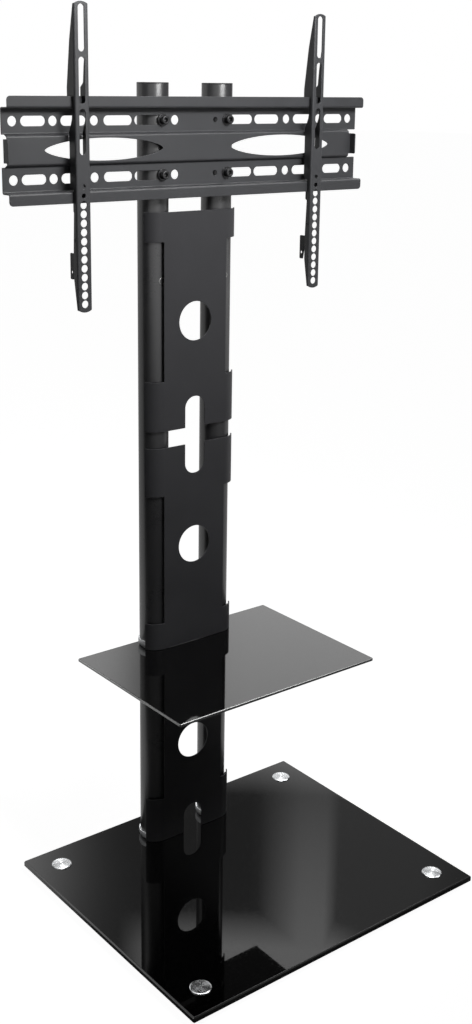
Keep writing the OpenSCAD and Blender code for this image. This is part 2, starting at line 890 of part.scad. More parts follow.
// Hook arm: a channel with rounded ends, hung over the upper lip
module hook_arm(x) {
    wall_x = arm_w / 2 - arm_t / 2;
    arm_path = [
        [-wall_x, arm_front + 2 * hook_depth], [-wall_x, arm_front + arm_t / 2],
        [wall_x, arm_front + arm_t / 2], [wall_x, arm_front + 2 * hook_depth]
    ];
    color("#47484a")
        translate([x, 0, 0])
            union() {
                difference() {
                    intersection() {
                        translate([0, 0, arm_z])
                            linear_extrude(arm_h) sheet_section(arm_path, arm_bend_r, arm_t);
                        along_x(arm_w)
                            polygon([for (p = arm_outline) [arm_front + p[0], p[1]]]);
                        translate([0, arm_front, arm_z + arm_h / 2])
                            along_y(4 * hook_depth) arm_drawing();
                    }
                    for (outline = [arm_far_low, arm_far_high])
                        translate([arm_w / 2, 0, 0])
                            along_x(arm_w)
                                polygon([for (p = outline) [arm_front + p[0], p[1]]]);
                    translate([0, arm_front + arm_t / 2, 0]) {
                        for (k = [0:2])
                            translate([0, 0, arm_z + arm_h - arm_slot_top - k * arm_slot_pitch])
                                along_y(arm_t + 2 * over)
                                    rotate(90) slot_drawing(arm_slot_l, arm_slot_w);
                        for (k = [0:arm_hole_count + 1])
                            translate([0, 0, arm_z + arm_w / 2 + k * arm_hole_pitch])
                                rod_y(k < arm_hole_count ? arm_hole_d : arm_pilot_d, arm_t + 2 * over);
                    }
                    for (z = latch_pin_heights)
                        translate([-arm_w / 2, arm_front + latch_pin_depth, arm_z + z])
                            rotate([0, 90, 0])
                                cylinder(d = latch_pin_d, h = 2 * arm_t + over, center = true);
                }
                translate([spring_x - tab_w / 2 - over, arm_front + latch_front, arm_z + arm_tab_z])
                    cube([arm_w / 2 - arm_t / 2 - spring_x + tab_w / 2 + over, latch_spine_w, tab_t]);
            }
}

// Latch outline: depth behind the arm's face and height above the arm's lower end
latch_back = latch_front + latch_spine_w;
latch_outline = [
    [latch_front, latch_bar_low],
    [latch_bar_reach - latch_leg_w - latch_leg_flare, latch_bar_low],
    [latch_bar_reach - latch_leg_w, latch_leg_low],
    [latch_bar_reach, latch_leg_low],
    [latch_bar_reach, latch_bar_high],
    [latch_back, latch_bar_high],
    [latch_back, latch_lip - latch_tongue_low],
    [lip_slot_back + latch_tongue_w, latch_lip - latch_tongue_low + latch_tongue_slope],
    [lip_slot_back + latch_tongue_w, latch_lip + latch_tongue_rise - latch_tongue_slope],
    [lip_slot_back + latch_tongue_w / 3, latch_lip + latch_tongue_rise],
    [lip_slot_back, latch_lip + latch_tongue_rise],
    [lip_slot_back, latch_lip - latch_spine_gap],
    [lip_slot_front, latch_lip - latch_spine_gap],
    [lip_slot_front, latch_head_low],
    [latch_head_depth, latch_head_low],
    [latch_head_depth, latch_head_high],
    [latch_front, latch_head_high]
];

// Latch plate: it slides down inside the arm to free its tongue from the lower lip
module latch(x) {
    color("#3c3d3f")
        translate([x + latch_x, arm_front, arm_z])
            union() {
                difference() {
                    along_x(latch_t) polygon(latch_outline);
                    translate([0, latch_bar_reach - latch_leg_w / 2, latch_leg_low + latch_hole_rise])
                        rotate([0, 90, 0])
                            cylinder(d = latch_hole_d, h = latch_t + 2 * over, center = true);
                    for (z = latch_pin_heights)
                        translate([0, latch_pin_depth, z + latch_travel / 2])
                            along_x(latch_t + 2 * over)
                                rotate(90)
                                    slot_drawing(
                                        latch_travel + latch_pin_d + 2 * pin_gap,
                                        latch_pin_d + 2 * pin_gap
                                    );
                }
                translate([0, latch_front, latch_tab_z])
                    cube([spring_x + tab_w / 2 - latch_x, latch_spine_w, tab_t]);
            }
}

// Shouldered pins, riveted in the arm's wall, that guide and hold the latch
module latch_pins(x) {
    pin_r = latch_pin_d / 2;
    wall_in = arm_t - arm_w / 2;
    plate_near = latch_x - latch_t / 2 - pin_side_gap;
    plate_far = latch_x + latch_t / 2 + pin_side_gap;
    color("silver")
        for (z = latch_pin_heights)
            translate([x, arm_front + latch_pin_depth, arm_z + z])
                rotate([0, 90, 0])
                    rotate_extrude()
                        polygon([
                            [0, -arm_w / 2], [pin_r, -arm_w / 2], [pin_r, wall_in],
                            [pin_collar_r, wall_in], [pin_collar_r, plate_near], [pin_r, plate_near],
                            [pin_r, plate_far], [pin_collar_r, plate_far],
                            [pin_collar_r, plate_far + pin_head_t], [0, plate_far + pin_head_t]
                        ]);
}

// Wire of a latch spring: rings of points along a helix, capped at both ends
spring_steps = spring_turns * spring_rings;
spring_rise = spring_high - spring_low - spring_wire;
function spring_middle(i) = [
    spring_r * cos(360 * i / spring_rings),
    spring_r * sin(360 * i / spring_rings),
    spring_wire / 2 + spring_rise * i / spring_steps
];
function spring_ring(i) = [
    for (k = [0:spring_sides - 1])
        let(w = 360 * k / spring_sides)
        let(out = [cos(360 * i / spring_rings), sin(360 * i / spring_rings), 0])
        spring_middle(i) + spring_wire / 2 * (cos(w) * out + sin(w) * [0, 0, 1])
];
spring_points = [for (i = [0:spring_steps]) each spring_ring(i)];
spring_sides_list = [
    for (i = [0:spring_steps - 1])
        for (k = [0:spring_sides - 1])
            let(a = i * spring_sides + k)
            let(b = i * spring_sides + (k + 1) % spring_sides)
            each [[a, a + spring_sides, b + spring_sides], [a, b + spring_sides, b]]
];
spring_caps = [
    for (k = [1:spring_sides - 2])
        each [
            [0, k, k + 1],
            [
                spring_steps * spring_sides, spring_steps * spring_sides + k + 1,
                spring_steps * spring_sides + k
            ]
        ]
];
// Least gap between neighbouring turns, measured between the points of one turn and the next
spring_gap = min([
    for (i = [0:spring_rings])
        for (j = [i + spring_rings - 1:i + spring_rings + 1])
            norm(spring_middle(j) - spring_middle(i)) - spring_wire
]);
echo(least_gap_between_spring_turns = spring_gap);

module latch_spring(x) {
    color("silver")
        translate([x + spring_x, spring_y, spring_low])
            polyhedron(spring_points, concat(spring_sides_list, spring_caps));
}

base_glass();
foot_disc(-1, -1);  // foot_disc_front_left
foot_disc(1, -1);  // foot_disc_front_right
foot_disc(-1, 1);  // foot_disc_back_left
foot_disc(1, 1);  // foot_disc_back_right
foot_pad(-1, -1);  // foot_pad_front_left
foot_pad(1, -1);  // foot_pad_front_right
foot_pad(-1, 1);  // foot_pad_back_left
foot_pad(1, 1);  // foot_pad_back_right
foot_studs();
under_plate();
base_bolts();
base_gaskets();
collar(-1, base_top);  // lower_collar_left
collar(1, base_top);  // lower_collar_right
lower_tube(-1);  // lower_tube_left
lower_tube(1);  // lower_tube_right
lower_tube_plugs();
shelf_glass();
shelf_gaskets();
shelf_studs();
collar(-1, shelf_top);  // upper_collar_left
collar(1, shelf_top);  // upper_collar_right
upper_tube(-1);  // upper_tube_left
upper_tube(1);  // upper_tube_right
upper_tube_plugs();
tube_cap(-1);  // tube_cap_left
tube_cap(1);  // tube_cap_right
panel_lower();
panel_middle();
panel_upper();
panel_pads_lower();
panel_pads_middle();
panel_pads_upper();
rivet_nuts(-1);  // rivet_nuts_left
rivet_nuts(1);  // rivet_nuts_right
rail_plate();
rail_washers();
rail_bolts();
hook_arm(left_arm_x);  // arm_left
hook_arm(right_arm_x);  // arm_right
latch(left_arm_x);  // latch_left
latch(right_arm_x);  // latch_right
latch_pins(left_arm_x);  // latch_pins_left
latch_pins(right_arm_x);  // latch_pins_right
latch_spring(left_arm_x);  // latch_spring_left
latch_spring(right_arm_x);  // latch_spring_right
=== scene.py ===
"""Looks of a television stand with a slotted rail and two hook arms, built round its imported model."""

import math

import bmesh
import bpy
import numpy as np
from bpy.props import FloatProperty, FloatVectorProperty, IntProperty, PointerProperty
from mathutils import Matrix, Vector, geometry


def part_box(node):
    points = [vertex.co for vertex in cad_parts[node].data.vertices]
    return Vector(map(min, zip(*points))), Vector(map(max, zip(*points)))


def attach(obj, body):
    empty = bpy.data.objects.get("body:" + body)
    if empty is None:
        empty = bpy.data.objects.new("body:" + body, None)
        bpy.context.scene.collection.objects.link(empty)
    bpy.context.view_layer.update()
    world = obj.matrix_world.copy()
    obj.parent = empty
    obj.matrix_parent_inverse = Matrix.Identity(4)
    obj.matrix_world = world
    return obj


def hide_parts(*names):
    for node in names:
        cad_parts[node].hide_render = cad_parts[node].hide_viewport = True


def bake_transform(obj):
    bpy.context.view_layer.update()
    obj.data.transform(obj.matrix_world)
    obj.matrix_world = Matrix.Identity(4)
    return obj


bl_info = {
    "name": "Television stand with mount",
    "version": (1, 0, 0),
    "blender": (4, 5, 0),
    "location": "3D View > Sidebar > TV stand",
    "description": "Builds the glass, column, covers, rail and hook arms of a television stand",
    "category": "Add Mesh",
}

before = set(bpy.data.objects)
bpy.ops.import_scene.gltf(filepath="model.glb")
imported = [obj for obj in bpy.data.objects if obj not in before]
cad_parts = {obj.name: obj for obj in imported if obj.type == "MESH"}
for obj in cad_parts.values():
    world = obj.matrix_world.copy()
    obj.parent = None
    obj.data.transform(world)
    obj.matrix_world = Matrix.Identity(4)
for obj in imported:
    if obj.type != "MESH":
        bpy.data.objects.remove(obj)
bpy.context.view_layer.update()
MM = 0.001


def box_of(node):
    """Lowest and highest corner of a CAD node, as a 2 x 3 array."""
    return np.array([list(corner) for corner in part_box(node)])


BASE = box_of("base_glass")
SHELF = box_of("shelf_glass")
LOWER_TUBE = box_of("lower_tube_right")
RAIL = box_of("rail_plate")
ARMS = {side: box_of("arm_" + side) for side in ("left", "right")}
TUBE_X, TUBE_Y = LOWER_TUBE[:, :2].mean(0)
TUBE_R = (LOWER_TUBE[1, 0] - LOWER_TUBE[0, 0]) / 2
AXES = ((-TUBE_X, TUBE_Y), (TUBE_X, TUBE_Y))
RAIL_Z = RAIL[:, 2].mean()
DISC_INSET = 46 * MM  # from the edges of the base to the middle of a disc
BORE_R = 6.5 * MM  # bore of rings and collars, and reach of an insert on its tube
ROW = 40 * MM  # from the middle of the rail to each row of slots
SCREW_HEAD = 8 * MM
LATCH_X = 6.8 * MM  # from the middle of an arm to its latch plate
SEAT_Z = 1141 * MM  # middle of the tab that the latch spring stands on


# ---- sizes and colours ----


def length(name, text, default_mm):
    return FloatProperty(name=name, description=text, default=default_mm * MM, unit="LENGTH", precision=4)


def colour(name, text, value):
    return FloatVectorProperty(name=name, description=text, default=value, subtype="COLOR", min=0, max=1)


def share(name, text, value):
    return FloatProperty(name=name, description=text, default=value, subtype="FACTOR", min=0, max=1)


def power(name, text, watts):
    return FloatProperty(name=name, description=text, default=watts, unit="POWER")


class GlassSettings(bpy.types.PropertyGroup):
    base_bevel: length("Base bevel", "Polished bevel round the base glass", 2)
    shelf_bevel: length("Shelf bevel", "Polished bevel round the shelf glass", 1)
    corner: length("Corner radius", "Plan radius of the glass corners", 3)
    edge: length("Edge radius", "Radius left by polishing between bevel and face", 0.3)
    body: colour("Glass", "Colour of the black glass", (0.0025, 0.0025, 0.0028))
    rim: colour("Glass edge", "Colour of the ground edge of the glass", (0.012, 0.013, 0.013))
    # Pale grey of the shelf's edge: partly the edge's own grey, partly a painted highlight along its thin bevel.
    shelf_rim_and_highlight: colour("Shelf edge", "Colour of the ground edge of the thin glass", (0.16, 0.165, 0.165))
    gloss: share("Roughness", "Roughness of the polished face", 0.012)


class ColumnSettings(bpy.types.PropertyGroup):
    wall: length("Tube wall", "Wall thickness of the tubes", 1.5)
    collar_floor: length("Collar floor", "Thickness of the floor of each collar", 3)
    disc_dome: length("Disc dome", "How far the steel discs are crowned", 0.35)
    cap_round: length("Cap rounding", "Radius round the lip of the tube caps", 0.8)
    paint: colour("Tube paint", "Satin paint of the tubes", (0.034, 0.034, 0.036))
    steel: colour("Turned steel", "Bare steel of discs and collars", (0.62, 0.63, 0.64))
    rubber: colour("Rubber", "Feet and rings", (0.012, 0.012, 0.012))
    plastic: colour("Caps", "Moulded caps of the tubes", (0.012, 0.012, 0.013))


class CoverSettings(bpy.types.PropertyGroup):
    thickness: length("Sheet", "Sheet thickness of the covers", 1.8)
    flat_edge: length("Width at the slits", "Half width of a cover between its ears", 60)
    long_ear: length("Long ears", "Height of the ears at the notched end", 80)
    short_ear: length("Short ears", "Height of the ears at the other end", 45)
    cable_hole: length("Cable hole", "Diameter of the cable hole", 62)
    notch_w: length("Notch width", "Width of the cable notch", 38)
    notch_d: length("Notch depth", "Depth of the cable notch", 50)
    paint: colour("Cover paint", "Satin paint of the covers", (0.051, 0.051, 0.055))
    foam: colour("Foam", "Foam strips behind the ears", (0.018, 0.018, 0.019))


class RailSettings(bpy.types.PropertyGroup):
    thickness: length("Sheet", "Sheet thickness of the rail", 2)
    middle: length("Raised middle", "Flat height of the raised middle", 38.6)
    middle_out: length("Raise", "How far the middle stands in front of the strips", 6)
    right_stop: length("Right stop", "Distance of the right-hand stop from the rail's end", 13.5)
    lip: length("Lip", "Height of each lip above its ledge", 16.5)
    slot: length("Slot height", "Height of the slots and diameter of the holes", 14)
    paint: colour("Rail paint", "Charcoal powder coat of rail and arms", (0.052, 0.053, 0.057))
    screw: colour("Screws", "Blackened screws and washers", (0.06, 0.06, 0.062))


class ArmSettings(bpy.types.PropertyGroup):
    thickness: length("Sheet", "Sheet thickness of the arms", 2)
    bend: length("Bend", "Middle radius of the two long bends", 2)
    end: length("End radius", "Radius of the rounded ends", 19)
    slot_w: length("Slot width", "Width of the long slots", 10)
    slot_l: length("Slot length", "Length of the long slots", 63)
    slot_pitch: length("Slot pitch", "Distance from one slot to the next", 70)
    hole: length("Hole", "Diameter of the row of holes", 11)
    hole_pitch: length("Hole pitch", "Distance from one hole to the next", 12.9)
    holes: IntProperty(name="Holes", description="Number of large holes", default=12)
    wire: length("Spring wire", "Wire of the latch springs", 0.9)
    latch: colour("Latch paint", "Powder coat of the latch plates", (0.048, 0.049, 0.052))
    zinc: colour("Zinc", "Plated pins, inserts and springs", (0.5, 0.5, 0.49))


class StageSettings(bpy.types.PropertyGroup):
    floor: colour("Floor", "Colour of the pale floor", (0.5, 0.5, 0.5))
    lift: share("Floor lift", "Light that the camera alone sees on the floor", 0.97)
    key: power("Key light", "Power of the key light", 4.9)
    top: power("Top light", "Power of the high light", 1.6)


class StandSettings(bpy.types.PropertyGroup):
    glass: PointerProperty(type=GlassSettings)
    column: PointerProperty(type=ColumnSettings)
    covers: PointerProperty(type=CoverSettings)
    rail: PointerProperty(type=RailSettings)
    arms: PointerProperty(type=ArmSettings)
    stage: PointerProperty(type=StageSettings)


# ---- surfaces ----


def unit(v):
    return v / np.maximum(np.linalg.norm(v, axis=-1, keepdims=True), 1e-12)


def left(v):
    return np.stack([-v[..., 1], v[..., 0]], -1)


def full_turn(count):
    return np.linspace(0, 2 * np.pi, count, endpoint=False)


def rounded(points, radii, closed=True, steps=5, support=0.0):
    """A line of corners with arcs in their place.

    The arc at a corner q between directions a and b starts at q - t a and ends at q + t b, with
    t = r tan(turn / 2), about the centre q - t a + r left(a). A support point beside each end of an arc
    keeps the shading of the flat beyond it even.
    """
    q = np.asarray(points, float)
    before, after = q - np.roll(q, 1, 0), np.roll(q, -1, 0) - q
    reach = np.minimum(np.linalg.norm(before, axis=1), np.linalg.norm(after, axis=1))
    a, b = unit(before), unit(after)
    turn = np.arctan2(a[:, 0] * b[:, 1] - a[:, 1] * b[:, 0], (a * b).sum(1))
    if not closed:
        turn[[0, -1]], reach[[0, -1]] = 0, 1
        a[0], b[-1] = b[0], a[-1]
    slope = np.tan(np.abs(turn) / 2)
    t = np.minimum(np.asarray(radii) * slope, 0.48 * reach)
    r = (np.sign(turn) * t / np.maximum(slope, 1e-9))[:, None]
    centre = q - t[:, None] * a + r * left(a)
    part = (turn[:, None] * np.linspace(0, 1, steps + 1))[..., None]
    along = a[:, None] * np.cos(part) + left(a)[:, None] * np.sin(part)
    arc = centre[:, None] - r[:, None] * left(along)
    room = np.where(t + support < 0.45 * reach, support, 0.0)[:, None]
    loop = np.concatenate([(arc[:, 0] - room * a)[:, None], arc, (arc[:, -1] + room * b)[:, None]], 1)
    return without_repeats(loop.reshape(-1, 2), closed)


def without_repeats(loop, closed):
    """The line with every point that repeats the one before it left out."""
    gap = np.linalg.norm(loop - np.roll(loop, 1, 0), axis=1)
    if not closed:
        gap[0] = 1
    return loop[gap > 2e-7]


def material_left(loop, is_hole):
    """The loop in the direction that has the sheet's material on its left."""
    following = np.roll(loop, -1, 0)
    runs_left = (loop[:, 0] * following[:, 1] - loop[:, 1] * following[:, 0]).sum() > 0
    return loop if runs_left != is_hole else loop[::-1]


def moved_left(loop, distance):
    """Every point moved to its left by the distance, square to both of its sides."""
    before, after = left(unit(loop - np.roll(loop, 1, 0))), left(unit(np.roll(loop, -1, 0) - loop))
    middle = unit(before + after)
    return loop + distance * middle / np.maximum((middle * before).sum(1), 0.5)[:, None]


def cut_at(loop, levels):
    """The loop with a point added wherever it crosses one of the levels of its second coordinate."""
    start, end = loop, np.roll(loop, -1, 0)
    low, high = np.minimum(start[:, 1], end[:, 1]), np.maximum(start[:, 1], end[:, 1])
    side, level = np.nonzero((levels > low[:, None] + 1e-7) & (levels < high[:, None] - 1e-7))
    part = (levels[level] - start[side, 1]) / (end[side, 1] - start[side, 1])
    added = start[side] + part[:, None] * (end[side] - start[side])
    order = np.argsort(np.concatenate([np.arange(len(loop)), side + part]), kind="stable")
    return np.concatenate([loop, added])[order]


def circle(centre, radius, count=48):
    """Points at equal angles round a centre."""
    w = full_turn(count)
    return np.asarray(centre) + radius * np.stack([np.cos(w), np.sin(w)], -1)


def slot_loop(centre, size, count=24):
    """Two half circles joined by straight sides, long along the first axis or the second."""
    size = np.asarray(size, float)
    r = size.min() / 2
    w = np.linspace(-np.pi / 2, np.pi / 2, count)
    half = np.stack([(size.max() / 2 - r) + r * np.cos(w), r * np.sin(w)], -1)
    loop = np.concatenate([half, -half])
    return np.asarray(centre) + (loop if size.argmax() == 0 else loop[:, ::-1])


def inside(points, loop):
    """Which points a closed loop goes round: a ray along the first axis crosses it an odd number of times."""
    x, y = points[:, :1], points[:, 1:]
    x0, y0 = loop.T
    x1, y1 = np.roll(x0, -1), np.roll(y0, -1)
    spans = (y0 > y) != (y1 > y)
    rise = np.where(np.abs(y1 - y0) < 1e-15, 1e-15, y1 - y0)
    return (spans & (x < (x1 - x0) * (y - y0) / rise + x0)).sum(1) % 2 == 1


class Shape:
    """Points and faces of one piece, gathered from grids, caps and cut sheets."""

    def __init__(self):
        self.points, self.faces, self.bands, self.count = [], [], [], 0

    def add_points(self, points):
        start = self.count
        self.points.append(points.reshape(-1, 3))
        self.count += len(self.points[-1])
        return start

    def grid(self, points, wrap_rows=False, wrap_columns=False, bands=None):
        """A grid of points, with quads between neighbours; bands gives each row of quads its material."""
        rows, columns = points.shape[:2]
        start = self.add_points(points)
        i = np.arange(rows if wrap_rows else rows - 1)[:, None]
        j = np.arange(columns if wrap_columns else columns - 1)[None]
        i2, j2 = (i + 1) % rows, (j + 1) % columns
        quads = np.stack([i * columns + j, i2 * columns + j, i2 * columns + j2, i * columns + j2], -1)
        self.faces += (start + quads.reshape(-1, 4)).tolist()
        bands = np.zeros(len(i), int) if bands is None else bands
        self.bands += np.repeat(bands, j.size).tolist()
        return self

    def cap(self, ring):
        """One flat face over a closed ring of points."""
        start = self.add_points(ring)
        self.faces.append(list(range(start, start + len(ring))))
        self.bands.append(0)
        return self

    def turn(self, profile, centre, axis=(0, 0, 1), closed=False, count=96, hexed=0):
        """A profile of radius and height turned round an axis through a centre.

        P(w, v) = centre + r(v) (cos w e1 + sin w e2) + h(v) axis. The radius follows a regular hexagon by
        the share hexed, given for all points or for each: r times 1 + hexed (1 / cos(w to the flat) - 1).
        """
        profile, axis = np.asarray(profile, float), np.asarray(axis, float)
        first = unit(np.cross([0, 0, 1], axis)) if abs(axis[2]) < 0.9 else np.array([1.0, 0, 0])
        w = full_turn(count)
        spoke = np.cos(w)[:, None] * first + np.sin(w)[:, None] * np.cross(axis, first)
        six_sided = 1 / np.cos((w + np.pi / 6) % (np.pi / 3) - np.pi / 6)
        r = profile[:, :1] * (1 + np.broadcast_to(hexed, len(profile))[:, None] * (six_sided - 1))
        points = np.asarray(centre) + r[..., None] * spoke + profile[:, 1:, None] * axis
        return self.grid(points, wrap_rows=closed, wrap_columns=True)

    def sheet(self, outline, holes, place, thickness, rim, levels=(), rim_steps=3, support=0.4 * MM):
        """A cut sheet of even thickness, bent by the function place.

        place takes the flat coordinates along and across the bends and the depth off the middle of the
        sheet, and gives points in space. Both faces are the same flat net of triangles between the loops
        and the bend lines. The cut edges are a grid round each loop: the depth goes from one face to the
        other, and the distance into the sheet falls from rim to zero and back in two quarter circles.
        """
        levels = np.asarray(levels, float)
        loops = [material_left(outline, False)] + [material_left(hole, True) for hole in holes]
        if len(levels):
            loops = [cut_at(loop, levels) for loop in loops]
        w = np.linspace(0, np.pi / 2, rim_steps + 1)
        inset = np.concatenate([rim * (1 - np.sin(w)), rim * (1 - np.sin(w[::-1]))])
        depth = thickness / 2 - rim * (1 - np.cos(w))
        depth = np.concatenate([-depth, depth[::-1]])
        for loop in loops:
            rings = np.stack([moved_left(loop, distance) for distance in inset])
            self.grid(place(rings[..., 0], rings[..., 1], depth[:, None]), wrap_columns=True)
        flat, faces = flat_net(loops, levels, rim, support)
        for side in (-1, 1):
            start = self.add_points(place(flat[:, 0], flat[:, 1], side * thickness / 2))
            self.faces += (start + (faces if side > 0 else faces[:, ::-1])).tolist()
            self.bands += [0] * len(faces)
        return self

    def mesh(self, name, looks):
        """One closed mesh, smooth, with its points merged and its faces turned outwards."""
        data = bpy.data.meshes.new(name)
        data.from_pydata(np.concatenate(self.points).tolist(), [], self.faces)
        data.polygons.foreach_set("material_index", np.array(self.bands, np.int32))
        for look in looks:
            data.materials.append(finish(look))
        work = bmesh.new()
        work.from_mesh(data)
        bmesh.ops.remove_doubles(work, verts=work.verts, dist=1.5e-6)
        bmesh.ops.dissolve_degenerate(work, edges=work.edges, dist=1e-7)
        bmesh.ops.recalc_face_normals(work, faces=work.faces)
        work.to_mesh(data)
        work.free()
        data.polygons.foreach_set("use_smooth", np.ones(len(data.polygons), bool))
        return data


def flat_net(loops, levels, rim, support):
    """Triangles of a flat sheet between its loops, with the bend lines and a support line along each loop."""
    points, edges = [], []

    def add(loop, closed=True):
        start = sum(len(p) for p in points)
        points.append(loop)
        count = len(loop)
        edges.extend([(start + i, start + (i + 1) % count) for i in range(count if closed else count - 1)])

    borders = [moved_left(loop, rim) for loop in loops]
    for loop, border in zip(loops, borders):
        add(border)
        add(moved_left(loop, rim + support))
    low, high = borders[0].min(0), borders[0].max(0)
    for level in levels:
        add(np.array([[low[0] - 0.01, level], [high[0] + 0.01, level]]), False)
    flat = [Vector(p) for p in np.concatenate(points)]
    found = geometry.delaunay_2d_cdt(flat, edges, [], 0, 1e-7, False)
    net = np.array([list(p) for p in found[0]])
    faces = np.array([list(f) for f in found[2] if len(f) == 3])
    middle = net[faces].mean(1)
    keep = inside(middle, borders[0])
    for border in borders[1:]:
        keep &= ~inside(middle, border)
    used, faces = np.unique(faces[keep], return_inverse=True)
    return net[used], faces.reshape(-1, 3)


def flat_place(origin, along=(1, 0, 0), across=(0, 1, 0), out=(0, 0, 1)):
    """A function that lays flat coordinates on a plane through the origin."""
    origin, along, across, out = (np.asarray(v, float) for v in (origin, along, across, out))

    def place(a, s, d):
        a, s, d = np.broadcast_arrays(a, s, d)
        return origin + a[..., None] * along + s[..., None] * across + d[..., None] * out

    return place


def channel_place(flat, radius, centre, most=np.pi):
    """A function that lays height and run across on a sheet bent back at both sides.

    centre is the middle of the foot, in line with the axes of the bends. turn = (|across| - flat) / radius,
    at most `most`; x = flat + r sin(turn), y = -r cos(turn) + the run that is left beyond the bend.
    """

    def place(a, b, d):
        a, b, d = np.broadcast_arrays(a, b, d)
        turn = np.clip((np.abs(b) - flat) / radius, 0, most)
        rest = np.maximum(np.abs(b) - flat - radius * most, 0)
        r = radius - d
        x = np.sign(b) * (np.minimum(np.abs(b), flat) + r * np.sin(turn))
        return np.asarray(centre) + np.stack([x, rest - r * np.cos(turn), a], -1)

    return place


def add_piece(name, shape, looks, slot, *replaced, body="stand"):
    """Makes the object in its finishes, ties it to its body and hides the CAD nodes it stands for. The slot is not
    used.
    """
    looks = looks if isinstance(looks, tuple) else (looks,)
    piece = bpy.data.objects.new(name, shape.mesh(name, looks))
    bpy.context.scene.collection.objects.link(piece)
    if body:
        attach(piece, body)
    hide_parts(*replaced)
    return piece


# ---- finishes ----


def operation(kind, swapped=False):
    """A method that joins a socket with another value in a Math node, the other one first where swapped."""

    def join(self, other):
        return self.maths(kind, *((other, self) if swapped else (self, other)))

    return join


class Value:
    """A socket in a node tree. Sums, products, quotients and powers of it add Math nodes."""

    def __init__(self, graph, socket):
        self.graph, self.socket = graph, socket

    def maths(self, kind, *values):
        return self.graph.node("ShaderNodeMath", {"operation": kind}, dict(enumerate(values)))

    __add__ = __radd__ = operation("ADD")
    __mul__ = __rmul__ = operation("MULTIPLY")
    __sub__, __rsub__ = operation("SUBTRACT"), operation("SUBTRACT", True)
    __truediv__, __pow__, __rpow__ = operation("DIVIDE"), operation("POWER"), operation("POWER", True)

    def clamped(self):
        return self.maths("MINIMUM", self.maths("MAXIMUM", self, 0.0), 1.0)


class Graph:
    """The nodes of one material or of the world."""

    def __init__(self, tree):
        self.tree = tree
        tree.nodes.clear()

    def node(self, kind, settings=None, inputs=None, out=0):
        """The one way in which a node is made: its type, its settings, and its sockets' values or links."""
        made = self.tree.nodes.new(kind)
        for key, value in (settings or {}).items():
            setattr(made, key, value)
        for key, value in (inputs or {}).items():
            if isinstance(value, Value):
                self.tree.links.new(value.socket, made.inputs[key])
            else:
                made.inputs[key].default_value = value
        return Value(self, made.outputs[out]) if len(made.outputs) else made

    def position(self):
        return self.node("ShaderNodeTexCoord", out="Object")

    def noise(self, place, scale, detail=2.0, roughness=0.5):
        inputs = {"Vector": place, "Scale": scale, "Detail": detail, "Roughness": roughness}
        return self.node("ShaderNodeTexNoise", {}, inputs)

    def parts(self, vector):
        split = self.node("ShaderNodeSeparateXYZ", {}, {0: vector})
        return [Value(self, split.socket.node.outputs[i]) for i in range(3)]

    def vector(self, x, y, z):
        return self.node("ShaderNodeCombineXYZ", {}, {0: x, 1: y, 2: z})

    def mix(self, factor, one, other):
        return self.node("ShaderNodeMix", {"data_type": "RGBA"}, {0: factor, 6: one, 7: other}, out=2)

    def bump(self, height, distance):
        return self.node("ShaderNodeBump", {}, {"Height": height, "Distance": distance, "Strength": 1.0})

    def surface(self, **sockets):
        """The Principled shader, with underscores in the names of its sockets for spaces."""
        inputs = {key.replace("_", " "): value for key, value in sockets.items()}
        shader = self.node("ShaderNodeBsdfPrincipled", {}, inputs)
        self.node("ShaderNodeOutputMaterial", {}, {"Surface": shader})


def step(value, middle, soft):
    """One beyond the middle value and nought before it, the other way round where soft is negative."""
    return ((value - middle) / (2 * soft) + 0.5).clamped()


def opaque(rgb, factor=1.0):
    return (*[min(1.0, c * factor) for c in rgb], 1.0)


def new_finish(name):
    made = bpy.data.materials.get(name) or bpy.data.materials.new(name)
    made.use_nodes = True
    return made, Graph(made.node_tree)


def coated(name, rgb, roughness, grain, depth, level=0.3):
    """Powder coat or paint on steel: orange-peel bump, faint mottle in colour and gloss."""
    made, g = new_finish(name)
    place = g.position()
    peel = g.noise(place, grain, 3.0, 0.55)
    cloud = g.noise(place, 16.0, 4.0, 0.6)
    fleck = g.noise(place, grain * 2.3, 1.0, 0.5)
    shade = g.mix((cloud * 0.65 + fleck * 0.35).clamped(), opaque(rgb, 0.8), opaque(rgb, 1.2))
    rough = (cloud - 0.5) * 0.16 + (peel - 0.5) * 0.12 + roughness
    normal = g.bump(peel * 0.7 + fleck * 0.3, depth)
    g.surface(Base_Color=shade, Roughness=rough, Specular_IOR_Level=level, Normal=normal)
    return made


def black_glass(name, rgb, roughness, bend=1.5):
    """Painted float glass: deep gloss with faint wiping marks and a little dust."""
    made, g = new_finish(name)
    place = g.position()
    wipe = g.noise(g.node("ShaderNodeMapping", {}, {"Vector": place, "Scale": (1, 3.5, 1)}), 7.0, 5.0, 0.62)
    speck = g.noise(place, 520.0, 1.0, 0.5)
    dust = ((speck - 0.55) * 9.0).clamped() * (wipe * 0.6 + 0.5)
    shade = g.mix(dust, opaque(rgb), opaque((0.017, 0.017, 0.0175)))
    rough = wipe * 0.012 + dust * 0.06 + roughness
    g.surface(Base_Color=shade, Roughness=rough, IOR=bend)
    return made


